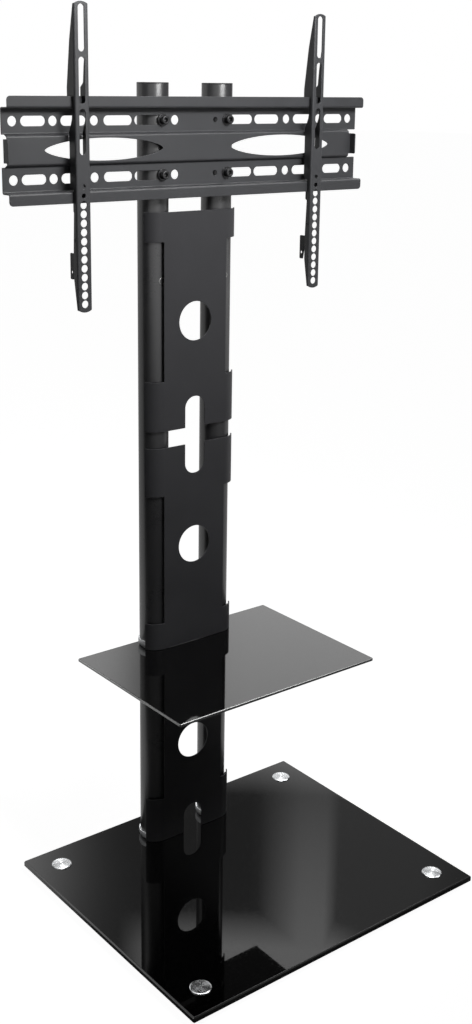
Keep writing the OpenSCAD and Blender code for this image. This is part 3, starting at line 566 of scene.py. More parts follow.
def turned_steel(name, rgb, centre, roughness, groove):
    """Bare turned steel, with fine grooves round upright axes at the centre and its mirror images.

    A groove leans the surface towards its axis or away from it, by the noise of its radius.
    """
    made, g = new_finish(name)
    x, y, z = g.parts(g.position())
    side, back = x.maths("ABSOLUTE", x) - centre[0], y.maths("ABSOLUTE", y) - centre[1]
    radius = (side * side + back * back) ** 0.5
    ring = g.noise(g.vector(radius, 0.0, z * 0.15), 5200.0, 2.0, 0.7)
    broad = g.noise(g.vector(radius, 0.0, z * 0.15), 900.0, 1.0, 0.5)
    cloud = g.noise(g.position(), 60.0, 3.0, 0.6)
    shade = g.mix((broad * 0.7 + cloud * 0.3).clamped(), opaque(rgb, 0.78), opaque(rgb, 1.12))
    rough = ring * 0.07 + cloud * 0.05 + roughness
    fine = g.noise(g.vector(radius, 0.0, 0.0), 26000.0, 1.0, 0.5)
    lean = (fine - 0.5) * groove / radius.maths("MAXIMUM", radius, 0.5 * MM)
    out = g.vector(x.maths("SIGN", x) * side * lean, y.maths("SIGN", y) * back * lean, 0.0)
    flat = g.node("ShaderNodeNewGeometry", out="Normal")
    leaning = g.node("ShaderNodeVectorMath", {"operation": "ADD"}, {0: flat, 1: out})
    normal = g.node("ShaderNodeVectorMath", {"operation": "NORMALIZE"}, {0: leaning})
    g.surface(Base_Color=shade, Metallic=1.0, Roughness=rough, Normal=normal)
    return made


def plated(name, rgb, roughness, metallic=1.0):
    """Zinc plating or black oxide on small steel parts: cloudy, with fine drawing marks."""
    made, g = new_finish(name)
    place = g.position()
    cloud = g.noise(place, 130.0, 4.0, 0.6)
    fine = g.noise(place, 3000.0, 2.0, 0.5)
    shade = g.mix(cloud, opaque(rgb, 0.7), opaque(rgb, 1.25))
    rough = cloud * 0.16 + fine * 0.08 + (roughness - 0.12)
    g.surface(Base_Color=shade, Metallic=metallic, Roughness=rough, Normal=g.bump(fine, 0.02 * MM))
    return made


def moulded(name, rgb, roughness, grain, depth):
    """Rubber, foam or plastic: fine pitted grain, with paler scuffs on its high points."""
    made, g = new_finish(name)
    place = g.position()
    pit = g.noise(place, grain, 4.0, 0.65)
    cloud = g.noise(place, 35.0, 3.0, 0.5)
    shade = g.mix((pit * 0.5 + cloud * 0.5).clamped(), opaque(rgb, 0.65), opaque(rgb, 1.5))
    rough = (cloud - 0.5) * 0.2 + roughness
    g.surface(Base_Color=shade, Roughness=rough, Normal=g.bump(pit, depth))
    return made


FINISHES = {}


def finish(name):
    """The finish of that name, made from the colours of the settings the first time it is asked for."""
    if name not in FINISHES:
        s = bpy.context.scene.tv_stand
        steel, paint = s.column.steel, s.column.paint
        maker, *values = {
            "glass": (black_glass, s.glass.body, s.glass.gloss),
            "glass_edge": (black_glass, s.glass.rim, s.glass.gloss + 0.09),
            # The shelf edge's pale colour is partly its own grey and partly a painted highlight.
            "shelf_edge": (black_glass, s.glass.shelf_rim_and_highlight, s.glass.gloss + 0.12, 2.4),
            "disc_steel": (turned_steel, steel, BASE[1] - DISC_INSET, 0.12, 1.9),
            "collar_steel": (turned_steel, steel, AXES[1], 0.4, 0.2),
            "tube_paint": (coated, paint, 0.3, 1500.0, 0.03 * MM, 1.0),
            "cover_paint": (coated, s.covers.paint, 0.4, 1300.0, 0.04 * MM),
            "rail_paint": (coated, s.rail.paint, 0.43, 1000.0, 0.06 * MM, 0.45),
            "latch_paint": (coated, s.arms.latch, 0.42, 1200.0, 0.04 * MM),
            "screw": (plated, s.rail.screw, 0.33, 0.85),
            "zinc": (plated, s.arms.zinc, 0.34),
            "black_steel": (coated, paint, 0.5, 900.0, 0.06 * MM),
            "rubber": (moulded, s.column.rubber, 0.72, 1400.0, 0.05 * MM),
            "plastic": (moulded, s.column.plastic, 0.48, 2200.0, 0.03 * MM),
            "foam": (moulded, s.covers.foam, 0.9, 1100.0, 0.2 * MM),
        }[name]
        FINISHES[name] = maker(name, *values)
    return FINISHES[name]


def refinish(nodes, name):
    """Gives CAD nodes that keep their own shape a procedural finish."""
    for node in nodes:
        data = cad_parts[node].data
        data.materials.clear()
        data.materials.append(finish(name))


# ---- pieces ----


def glass_sheet(box, bevel, corner, edge):
    """A glass sheet: the section of its worked edge carried round a rectangle with small round corners.

    A point of the section at inset i and height h lies on the rectangle drawn in by i, at height h.
    """
    low, high = box
    centre, half = (low + high)[:2] / 2, (high - low)[:2] / 2
    z0, z1, face = low[2], high[2], bevel + 3 * MM
    corners = [(face, z1), (bevel, z1), (0, z1 - bevel), (0, z0 + bevel), (bevel, z0), (face, z0)]
    section = rounded(corners, edge, closed=False, steps=3, support=0.35 * MM)
    turns = np.linspace(0, np.pi / 2, 7)
    w = (np.arange(4)[:, None] * np.pi / 2 + turns).ravel()
    quarter = np.repeat(np.arange(4), len(turns)) * np.pi / 2 + np.pi / 4
    signs = np.sign(np.stack([np.cos(quarter), np.sin(quarter)], -1))
    inset, height = section[:, :1, None], section[:, 1:, None]
    r = np.maximum(corner - inset, 0.1 * MM)
    flat = centre + signs * (half - inset - r) + r * np.stack([np.cos(w), np.sin(w)], -1)
    points = np.concatenate([flat, np.broadcast_to(height, (*flat.shape[:2], 1))], -1)
    outer = section[:, 0] < bevel - edge / 2
    bands = (outer[1:] & outer[:-1]).astype(int)
    return Shape().grid(points, wrap_columns=True, bands=bands).cap(points[0]).cap(points[-1])


def ring_profile(inner, outer, low, high, edge):
    """Section of a plain ring with eased edges."""
    return rounded([(inner, low), (outer, low), (outer, high), (inner, high)], edge, True, 4, 0.4 * MM)


def gaskets(name, node, glass):
    """Plain rubber rings round both tubes' axes, under a glass and over it."""
    low, high = box_of(node)
    shape = Shape()
    for bottom, top in ((low[2], glass[0, 2]), (glass[1, 2], high[2])):
        for x, y in AXES:
            shape.turn(ring_profile(BORE_R, TUBE_R, bottom, top, 0.3 * MM), (x, y, 0), closed=True)
    add_piece(name, shape, "rubber", "rubber", node)


class TVSTAND_OT_base(bpy.types.Operator):
    """Makes the base glass with its discs, feet, plate, bolts and rubber rings"""

    bl_idname = "tvstand.base"
    bl_label = "Base"

    def execute(self, context):
        s = context.scene.tv_stand
        shape = glass_sheet(BASE, s.glass.base_bevel, s.glass.corner, s.glass.edge)
        add_piece("glass_base", shape, ("glass", "glass_edge"), "base_glass", "base_glass")
        for place in ("front_left", "front_right", "back_left", "back_right"):
            self.foot(s.column.disc_dome, place)
        self.plate()
        self.bolts()
        gaskets("rings_base", "base_gaskets", BASE)
        refinish(["foot_studs"], "zinc")
        return {"FINISHED"}

    def foot(self, dome, place):
        """A crowned disc on the glass: height is top - dome (r / R)^2, and a ribbed rubber foot below it."""
        low, high = box_of("foot_disc_" + place)
        centre, radius = (*((low + high)[:2] / 2), 0), (high[0] - low[0]) / 2
        r = np.linspace(0, radius - 0.9 * MM, 14)
        crown = np.stack([r, high[2] - dome * (r / radius) ** 2], -1)
        rim = [crown[-1], (radius, high[2] - dome - 0.5 * MM), (radius, low[2]), (0, low[2])]
        rim = rounded(rim, 0.25 * MM, False, 4, 0.2 * MM)
        shape = Shape().turn(np.concatenate([crown[:-1], rim]), centre)
        add_piece("disc_" + place, shape, "disc_steel", "disc_steel", "foot_disc_" + place)
        low, high = box_of("foot_pad_" + place)
        radius = (high[0] - low[0]) / 2
        tread = [(low[2], 3, 0), (low[2], 2.4, 1.5), (low[2], 0, 2.5)]
        ribs = [(high[2], 0, -3.2), (high[2], 0.9, -2.6), (high[2], 0.9, -1.9), (high[2], 0, -1.3), (high[2], 0, 0)]
        corners = [(radius - inset * MM, level + h * MM) for level, inset, h in tread + ribs]
        profile = rounded([(0, low[2]), *corners, (0, high[2])], 0.6 * MM, False, 4, 0.2 * MM)
        add_piece("foot_" + place, Shape().turn(profile, centre), "rubber", "rubber", "foot_pad_" + place)

    def plate(self):
        """The plate under the glass: a cut sheet with rounded corners and two bolt holes."""
        low, high = box_of("under_plate")
        centre, half = (low + high) / 2, (high - low) / 2
        corners = centre[:2] + half[:2] * np.array([[-1, -1], [1, -1], [1, 1], [-1, 1]])
        holes = [circle(axis, 5.1 * MM) for axis in AXES]
        outline, place = rounded(corners, 10 * MM, True, 10), flat_place((0, 0, centre[2]))
        shape = Shape().sheet(outline, holes, place, high[2] - low[2], 0.4 * MM)
        add_piece("spread_plate", shape, "black_steel", "black_steel", "under_plate")

    def bolts(self):
        """Six-sided heads, whose corners are shares of the width over flats and of the height, and shanks."""
        low, high = box_of("base_bolts")
        head, flats = 6.4 * MM, (high[1] - low[1]) / 2
        corners = [(0, 0.94), (0.8, 0.94), (0.86, 1), (0.97, 1), (1, 0.9), (1, 0), (0.6, 0), (0.6, 0)]
        hexed = [0, 0, 0, 0.3, 1, 1, 0, 0]
        start, end, radius = -0.5 * MM, high[2] - low[2] - head, 5 * MM
        shank = rounded([(0, start), (radius, start), (radius, end), (0, end)], 0.5 * MM, False, 3)
        shape = Shape()
        for x, y in AXES:
            seat = (x, y, low[2] + head)
            shape.turn(np.array(corners) * (flats, head), seat, (0, 0, -1), hexed=hexed)
            shape.turn(shank, seat, count=48)
        add_piece("plate_bolts", shape, "zinc", "zinc_steel", "base_bolts")


class TVSTAND_OT_column(bpy.types.Operator):
    """Makes the collars, tubes, caps and threaded inserts of the column"""

    bl_idname = "tvstand.column"
    bl_label = "Column"

    def execute(self, context):
        s = context.scene.tv_stand.column
        for name, axis in zip(("left", "right"), AXES):
            centre = (*axis, 0)
            for level in ("lower", "upper"):
                self.collar(s, f"{level}_collar_{name}", centre)
                node = f"{level}_tube_{name}"
                low, high = box_of(node)
                profile = ring_profile(TUBE_R - s.wall, TUBE_R, low[2], high[2], 0.3 * MM)
                shape = Shape().turn(profile, centre, closed=True, count=128)
                add_piece(f"{level}_leg_{name}", shape, "tube_paint", "tube_paint", node)
            self.cap(s, "tube_cap_" + name, centre)
            self.inserts("rivet_nuts_" + name, axis[0])
        refinish(["lower_tube_plugs", "upper_tube_plugs", "shelf_studs"], "zinc")
        return {"FINISHED"}

    def collar(self, s, node, centre):
        """A spun cup: its wall swings out, R0 + (R1 - R0) (1 - (1 - t)^4), t from nought at its floor to one."""
        low, high = box_of(node)
        foot, rim = TUBE_R - 0.2 * MM, (high[0] - low[0]) / 2
        t = np.linspace(0, 1, 12)
        wall = np.stack([foot + (rim - foot) * (1 - (1 - t) ** 4), low[2] + t * (high[2] - low[2] - 0.4 * MM)], -1)
        floor = low[2] + s.collar_floor
        lip = [(rim, high[2]), (TUBE_R, high[2]), (TUBE_R, floor), (BORE_R, floor), (BORE_R, low[2])]
        profile = rounded(np.concatenate([wall, lip]), 0.25 * MM, True, 3, 0.15 * MM)
        shape = Shape().turn(profile, centre, closed=True)
        add_piece(node.replace("collar", "cup"), shape, "collar_steel", "collar_steel", node)

    def cap(self, s, node, centre):
        """A moulded cap with an eased lip, a shallow ring on top and a plug inside the tube."""
        low, high = box_of(node)[:, 2]
        inner, lip, sunk = TUBE_R - s.wall - 0.05 * MM, high - 2 * MM, high - 0.3 * MM
        corners = [(0, sunk), (TUBE_R - 4.5 * MM, sunk), (TUBE_R - 4 * MM, high), (TUBE_R, high), (TUBE_R, lip),
                   (inner, lip), (inner, low), (0, low)]
        radii = [0, 0.3 * MM, 0.3 * MM, s.cap_round, 0.2 * MM, 0.2 * MM, 0.8 * MM, 0]
        shape = Shape().turn(rounded(corners, radii, False, 5, 0.3 * MM), centre)
        add_piece(node.replace("tube_cap", "end_cap"), shape, "plastic", "cap_plastic", node)

    def inserts(self, node, x):
        """Threaded inserts: the bore's radius swings with the thread's pitch, r = r0 + a cos(2 pi y / pitch)."""
        low, high = box_of(node)
        outer, depth = (high[0] - low[0]) / 2, high[1] - low[1]
        bore, pitch = 3.9 * MM, 1.25 * MM
        y = np.arange(0.8 * MM, depth - 0.4 * MM, pitch / 8)
        thread = np.stack([bore + 0.22 * MM * np.cos(2 * np.pi * y / pitch), -y], -1)
        rim = [(bore, -0.7 * MM), (bore + 0.7 * MM, 0), (outer, 0), (outer, -depth), (bore, -depth)]
        profile = np.concatenate([thread[::-1], rounded(rim, 0.25 * MM, False, 3, 0.15 * MM)])
        shape = Shape()
        for z in np.linspace(low[2] + outer, high[2] - outer, 4):
            shape.turn(profile, (x, low[1], z), (0, -1, 0), True, 48)
        add_piece(node.replace("rivet_nuts", "inserts"), shape, "zinc", "zinc_steel", node)


class TVSTAND_OT_shelf(bpy.types.Operator):
    """Makes the shelf glass and its rubber rings"""

    bl_idname = "tvstand.shelf"
    bl_label = "Shelf"

    def execute(self, context):
        s = context.scene.tv_stand.glass
        shape = glass_sheet(SHELF, s.shelf_bevel, s.corner, s.edge / 2)
        add_piece("glass_shelf", shape, ("glass", "shelf_edge"), "shelf_glass", "shelf_glass")
        gaskets("rings_shelf", "shelf_gaskets", SHELF)
        return {"FINISHED"}


class TVSTAND_OT_covers(bpy.types.Operator):
    """Makes the three clip-on covers of the column and the foam strips behind their ears"""

    bl_idname = "tvstand.covers"
    bl_label = "Covers"

    def execute(self, context):
        s = context.scene.tv_stand.covers
        for name in ("lower", "middle", "upper"):
            low, high = box_of("panel_" + name)
            self.cover(s, name, low, high, name == "middle")
            self.strips(s, name, low, high, name == "middle")
        return {"FINISHED"}

    def cover(self, s, name, low, high, flipped):
        """A cut sheet, flat between the tubes' axes and bent round the tubes at an even radius beyond them."""
        height = high[2] - low[2]
        radius = TUBE_Y - low[1] - s.thickness / 2
        reach = TUBE_X + radius * math.asin((high[0] - TUBE_X) / (radius + s.thickness / 2))
        edge, notch = s.flat_edge, s.notch_w / 2
        right = [(0, notch), (0, reach), (s.long_ear, reach), (s.long_ear, edge),
                 (height - s.short_ear, edge), (height - s.short_ear, reach), (height, reach)]
        around = [(a, -b) for a, b in right[::-1]]
        corners = np.array(right + around + [(s.notch_d, -notch), (s.notch_d, notch)])
        side = np.array([0.8, 1.5, 1.5, 0.6, 0.6, 1.5, 1.5]) * MM
        outline = rounded(corners, np.concatenate([side, side[::-1], [notch * 0.998] * 2]), True, 12)
        hole = circle((height / 2, 0), s.cable_hole / 2, 96)
        if flipped:
            outline, hole = [loop * (-1, 1) + (height, 0) for loop in (outline, hole)]
        bends = np.append(np.linspace(TUBE_X, reach, 13)[:-1], TUBE_X - 0.4 * MM)
        levels = np.concatenate([-bends[::-1], bends])
        place = channel_place(TUBE_X, radius, (0, TUBE_Y, low[2]))
        shape = Shape().sheet(outline, [hole], place, s.thickness, 0.35 * MM, levels)
        add_piece("cover_" + name, shape, "cover_paint", "panel_paint", "panel_" + name)

    def strips(self, s, name, low, high, flipped):
        """Foam behind the ears: a rounded rectangle in radius and height, carried round the tube.

        Its size falls to nothing at both ends as the square root of 1 - u^10, which closes it softly.
        """
        node = "panel_pads_" + name
        outer, height = TUBE_Y - low[1] - s.thickness, high[2] - low[2]
        turn_end = math.asin(min(1, (box_of(node)[1, 0] - TUBE_X) / outer))
        turn_start = math.asin(BORE_R / TUBE_R)
        u = np.linspace(-1, 1, 33)
        swell = np.sqrt(np.maximum(1 - np.abs(u) ** 10, 0))[:, None]
        turn = ((turn_start + turn_end) / 2 + u * (turn_end - turn_start) / 2)[:, None]
        w = full_turn(32)
        square_x, square_z = (np.sign(wave) * np.abs(wave) ** 0.25 / 2 for wave in (np.cos(w), np.sin(w)))
        r = (outer + TUBE_R) / 2 + swell * square_x * (outer - TUBE_R)
        shape = Shape()
        for first, last in ((16.5 * MM, s.long_ear - 3 * MM), (height - s.short_ear + 3 * MM, height - 13 * MM)):
            middle = high[2] - (first + last) / 2 if flipped else low[2] + (first + last) / 2
            z = middle + (0.94 + 0.06 * swell) * square_z * (last - first) * (swell > 0)
            for side in (-1, 1):
                points = [side * (TUBE_X + r * np.sin(turn)), TUBE_Y - r * np.cos(turn), z]
                shape.grid(np.stack(points, -1), wrap_columns=True)
        piece = add_piece("foam_" + name, shape, "foam", "foam", node)


class TVSTAND_OT_rail(bpy.types.Operator):
    """Makes the slotted rail, its end stops, washers and screws"""

    bl_idname = "tvstand.rail"
    bl_label = "Rail"

    # Places along the rail, as shares of half its length
    HOLES = (0.546, 0.753, 0.948)
    SLOTS = ((0.348, 0.498), (0.588, 0.715), (0.789, 0.909))
    INNER_HOLE = 0.115
    BOLT_SLOT_END = 0.336
    LENS = (0.194, 0.805)
    # Sizes of the bends and of the reliefs beside the end stops
    SLOPE = 3.2 * MM
    RELIEF, RELIEF_LENGTH = 3 * MM, 5 * MM
    LENS_HALF = 16 * MM
    PILOT = 8 * MM

    def execute(self, context):
        s = context.scene.tv_stand.rail
        self.plate(s)
        self.screws()
        return {"FINISHED"}

    def path(self, s):
        """Middle line of the bent sheet, of depth and height: tables of run, point and normal."""
        t = s.thickness
        front, strip = RAIL[0, 1] + t / 2, RAIL[1, 1] - t / 2
        raised, half = strip - s.middle_out, (RAIL[1, 2] - RAIL[0, 2]) / 2
        ledge, flat = half - s.lip + t / 2, s.middle / 2
        upper = [(front, half), (front, ledge), (strip, ledge), (strip, flat + self.SLOPE), (raised, flat)]
        line = rounded(upper + [(y, -z) for y, z in upper[::-1]], 2.5 * MM, False, 6, 0.5 * MM)
        pieces = np.diff(line, axis=0)
        run = np.concatenate([[0], np.cumsum(np.linalg.norm(pieces, axis=1))])
        ahead = unit(pieces)
        normal = unit(left(np.vstack([ahead[:1], ahead]) + np.vstack([ahead, ahead[-1:]])))
        return run, line, normal

    def plate(self, s):
        """A cut sheet bent along the path: x is the run along the rail, and depth goes along the normal."""
        run, line, normal = self.path(s)
        half = RAIL[1, 0]

        def place(a, b, d):
            a, b, d = np.broadcast_arrays(a, b, d)
            y, z, ny, nz = (np.interp(b, run, table) for table in (*line.T, *normal.T))
            return np.stack([a, y + d * ny, RAIL_Z + z + d * nz], -1)

        def at(height):
            return float(np.interp(-height, -line[:, 1], run))

        flat = s.middle / 2
        notch_in, notch_out = at(flat - self.RELIEF), at(flat + self.SLOPE)
        low_in, low_out = at(self.RELIEF - flat), at(-flat - self.SLOPE)
        ends = {1: half - s.right_stop, -1: half}
        right, around = [
            [(side * a, b) for a, b in (
                (half, 0), (half, notch_out), (stop - self.RELIEF_LENGTH, notch_out),
                (stop - self.RELIEF_LENGTH, notch_in), (stop, notch_in), (stop, low_in),
                (stop - self.RELIEF_LENGTH, low_in), (stop - self.RELIEF_LENGTH, low_out),
                (half, low_out), (half, run[-1]))]
            for side, stop in ends.items()
        ]
        radii = np.full(20, 0.6 * MM)
        radii[[0, 9, 10, 19]] = 5.5 * MM
        outline = rounded(right + around[::-1], radii, True, 6)
        shape = Shape().sheet(outline, self.holes(s, half, at), place, s.thickness, 0.4 * MM, run[1:-1])
        y0, y1 = RAIL[0, 1] + 1.5 * MM, RAIL[1, 1] - s.middle_out - 0.1 * MM
        tab = flat - self.RELIEF - 0.1 * MM
        for side, stop in ends.items():
            origin = (side * (stop - s.thickness / 2 - 0.05 * MM), 0, RAIL_Z)
            radii = [2.5 * MM, 0.5 * MM, 0.5 * MM, 2.5 * MM]
            loop = rounded([(y0, -tab), (y1, -tab), (y1, tab), (y0, tab)], radii, True, 6)
            shape.sheet(loop, [], flat_place(origin, (0, 1, 0), (0, 0, 1), (side, 0, 0)), s.thickness, 0.4 * MM)
        add_piece("slotted_rail", shape, "rail_paint", "rail_paint", "rail_plate")

    def holes(self, s, half, at):
        """Every cut-out of the rail. The lens is y = (1 - u^2)^0.64 of its half height, u from tip to tip."""
        loops = []
        ends = [(a * half, b * half) for a, b in self.SLOTS]
        ends.append((TUBE_X - s.slot / 2, self.BOLT_SLOT_END * half))
        w = full_turn(120)
        rise = np.abs(np.sin(w)) ** 1.28 * np.sign(np.sin(w))
        for side in (-1, 1):
            for row in (at(ROW), at(-ROW)):
                loops.append(circle((side * self.INNER_HOLE * half, row), (s.slot if side < 0 else self.PILOT) / 2))
                loops += [circle((side * part * half, row), s.slot / 2) for part in self.HOLES]
                loops += [slot_loop((side * (a + b) / 2, row), (b - a, s.slot)) for a, b in ends]
            middle, reach = sum(self.LENS) / 2 * half, (self.LENS[1] - self.LENS[0]) / 2 * half
            lens = np.stack([side * middle + reach * np.cos(w), at(0) + self.LENS_HALF * rise], -1)
            loops.append(without_repeats(lens, True))
        return loops

    def screws(self):
        """Washers and socket screws, turned round axes along the depth; corners in radius and height, in mm."""
        spots = [(x, RAIL_Z + z) for x in (-TUBE_X, TUBE_X) for z in (-ROW, ROW)]
        low, high = box_of("rail_washers")
        profile = ring_profile(4.4 * MM, (high[0] - low[0]) / 2 - TUBE_X, 0, high[1] - low[1], 0.35 * MM)
        shape = Shape()
        for x, z in spots:
            shape.turn(profile, (x, high[1], z), (0, -1, 0), True, 64)
        add_piece("washers", shape, "screw", "bolt_steel", "rail_washers")
        low, high = box_of("rail_bolts")
        r, h = ((high[0] - low[0]) / 2 - TUBE_X) / MM, SCREW_HEAD / MM
        tip = h - (high[1] - low[1]) / MM
        socket = [(0, h - 5.4), (3, h - 5), (3, h - 0.3), (3.35, h)]
        head = [(3.7, h), (r - 1.1, h), (r - 0.7, h - 0.08), (r - 0.2, h - 0.4), (r, h - 0.9), (r, h - 1.4),
                (r, 0.5), (r - 0.1, 0.15), (r - 0.4, 0)]
        shank = [(4.2, 0), (3.95, -0.3), (3.95, tip + 1), (3.2, tip), (0, tip)]
        hexed = [1, 1, 1, 0.25] + [0] * 14
        shape = Shape()
        for x, z in spots:
            centre = (x, low[1] + SCREW_HEAD, z)
            shape.turn(np.array(socket + head + shank) * MM, centre, (0, -1, 0), False, 72, hexed)
        add_piece("screws", shape, "screw", "bolt_steel", "rail_bolts")


class TVSTAND_OT_arms(bpy.types.Operator):
    """Makes the two hook arms with their guide pins"""

    bl_idname = "tvstand.arms"
    bl_label = "Hook arms"

    def execute(self, context):
        s = context.scene.tv_stand.arms
        for name in ("left", "right"):
            self.arm(s, name)
            self.pins(s, name)
        return {"FINISHED"}

    def arm(self, s, name):
        """A channel: half a web of flat, a quarter turn, and a flange whose depth follows its outline."""
        low, high = ARMS[name]
        centre, wide, t, bend = (low[0] + high[0]) / 2, high[0] - low[0], s.thickness, s.bend
        tall, flat = high[2] - low[2], wide / 2 - t / 2 - bend
        corner_run = flat + bend * np.pi / 2
        turn = np.linspace(0, np.pi / 2, 9)
        bottom = self.end(s, flat, turn)
        top = bottom[::-1] * (-1, 1) + (tall, 0)
        sides = []
        for line in self.flanges(low[2]):
            knots = np.array([(z * MM, corner_run + d * MM - bend - t / 2) for z, d, r in line])
            radii = np.array([0] + [r * MM for z, d, r in line] + [0])
            flange = rounded(np.vstack([bottom[-1:], knots, top[:1]]), radii, False, 6)
            sides.append(np.concatenate([bottom, flange[1:-1], top]))
        outline = without_repeats(np.concatenate([sides[0], sides[1][::-1] * (1, -1)]), True)
        holes = [slot_loop((tall - 35 * MM - k * s.slot_pitch, 0), (s.slot_l, s.slot_w)) for k in range(3)]
        for k in range(s.holes + 2):
            size = s.hole if k < s.holes else 6.5 * MM
            holes.append(circle((wide / 2 + k * s.hole_pitch, 0), size / 2, 40))
        bends = np.concatenate([[flat - 0.4 * MM], flat + bend * turn, [corner_run + 0.4 * MM]])
        levels = np.concatenate([-bends[::-1], bends])
        place = channel_place(flat, bend, (centre, low[1] + t / 2 + bend, low[2]), np.pi / 2)
        shape = Shape().sheet(outline, holes, place, t, 0.35 * MM, levels)
        x0, x1, y0 = -1.5 * MM, wide / 2 - t / 2, low[1] + t + 0.5 * MM
        radii = [1.5 * MM, 0.2 * MM, 0.2 * MM, 1.5 * MM]
        loop = rounded([(x0, y0), (x1, y0), (x1, y0 + 7 * MM), (x0, y0 + 7 * MM)], radii, True, 5)
        shape.sheet(loop, [], flat_place((centre, 0, SEAT_Z)), 2 * MM, 0.3 * MM)
        add_piece("hook_" + name, shape, "rail_paint", "rail_paint", "arm_" + name, body="arm_" + name)

    def end(self, s, flat, turn):
        """Half of the arm's round end, as rise and run: rise = R - (R^2 - x^2)^0.5, x being the half width."""
        web = s.end * np.sin(np.linspace(0, 1, 12) * math.asin(flat / s.end))
        half_width = np.concatenate([web, flat + s.bend * np.sin(turn[1:])])
        runs = np.concatenate([web, flat + s.bend * turn[1:]])
        return np.stack([s.end - np.sqrt(s.end ** 2 - half_width ** 2), runs], -1)

    def flanges(self, foot):
        """Corners of the far and the near flange from the arm's foot: height, depth and radius in mm."""
        low, middle, high = (RAIL[0, 2] - foot) / MM, (RAIL_Z - foot) / MM, (RAIL[1, 2] - foot) / MM
        hook = [(low + 18.5, 7.7, 1.2), (low + 22.5, 17, 2), (middle + 24.5, 17, 3), (middle + 41.5, 9.7, 4),
                (high - 18.5, 7.7, 3), (high + 0.3, 7.7, 0.3), (high + 0.3, 10.3, 0.3),
                (high - 12.5, 10.3, 1.2), (high - 12.5, 21.5, 2)]
        far = [(22, 6.5, 12), (low - 6, 6.5, 3), (low - 2, 7.7, 2), *hook, (high + 12.5, 21.5, 2),
               (high + 18.5, 14, 4), (high + 40.5, 12, 20), (high + 61.5, 9, 20), (high + 81.5, 6, 20)]
        near = [(47.3, 10.7, 14), (90.3, 10.7, 20), (low - 2, 7.7, 3), *hook, (high + 12.5, 21.5, 8),
                (378.83, 13, 20)]
        return far, near

    def pins(self, s, name):
        """Shouldered pins turned round axes along the rail; each has a flat head and a riveted end."""
        low, high = ARMS[name]
        centre = (low[0] + high[0]) / 2
        box = box_of("latch_pins_" + name)
        wall, plate = low[0] + s.thickness, centre - LATCH_X
        corners = [(0, low[0]), (2, low[0]), (2, wall), (3.4, wall), (3.4, plate - 1.2 * MM),
                   (2, plate - 1.2 * MM), (2, plate + 1.2 * MM), (3.4, plate + 1.2 * MM),
                   (3.4, plate + 2.7 * MM), (0, plate + 2.7 * MM)]
        profile = rounded([(r * MM, x - centre) for r, x in corners], 0.3 * MM, False, 3, 0.1 * MM)
        shape = Shape()
        for z in (box[0, 2] + 3.4 * MM, box[1, 2] - 3.4 * MM):
            shape.turn(profile, (centre, low[1] + 6 * MM, z), (1, 0, 0), count=48)
        add_piece("pins_" + name, shape, "zinc", "zinc_steel", "latch_pins_" + name, body="arm_" + name)


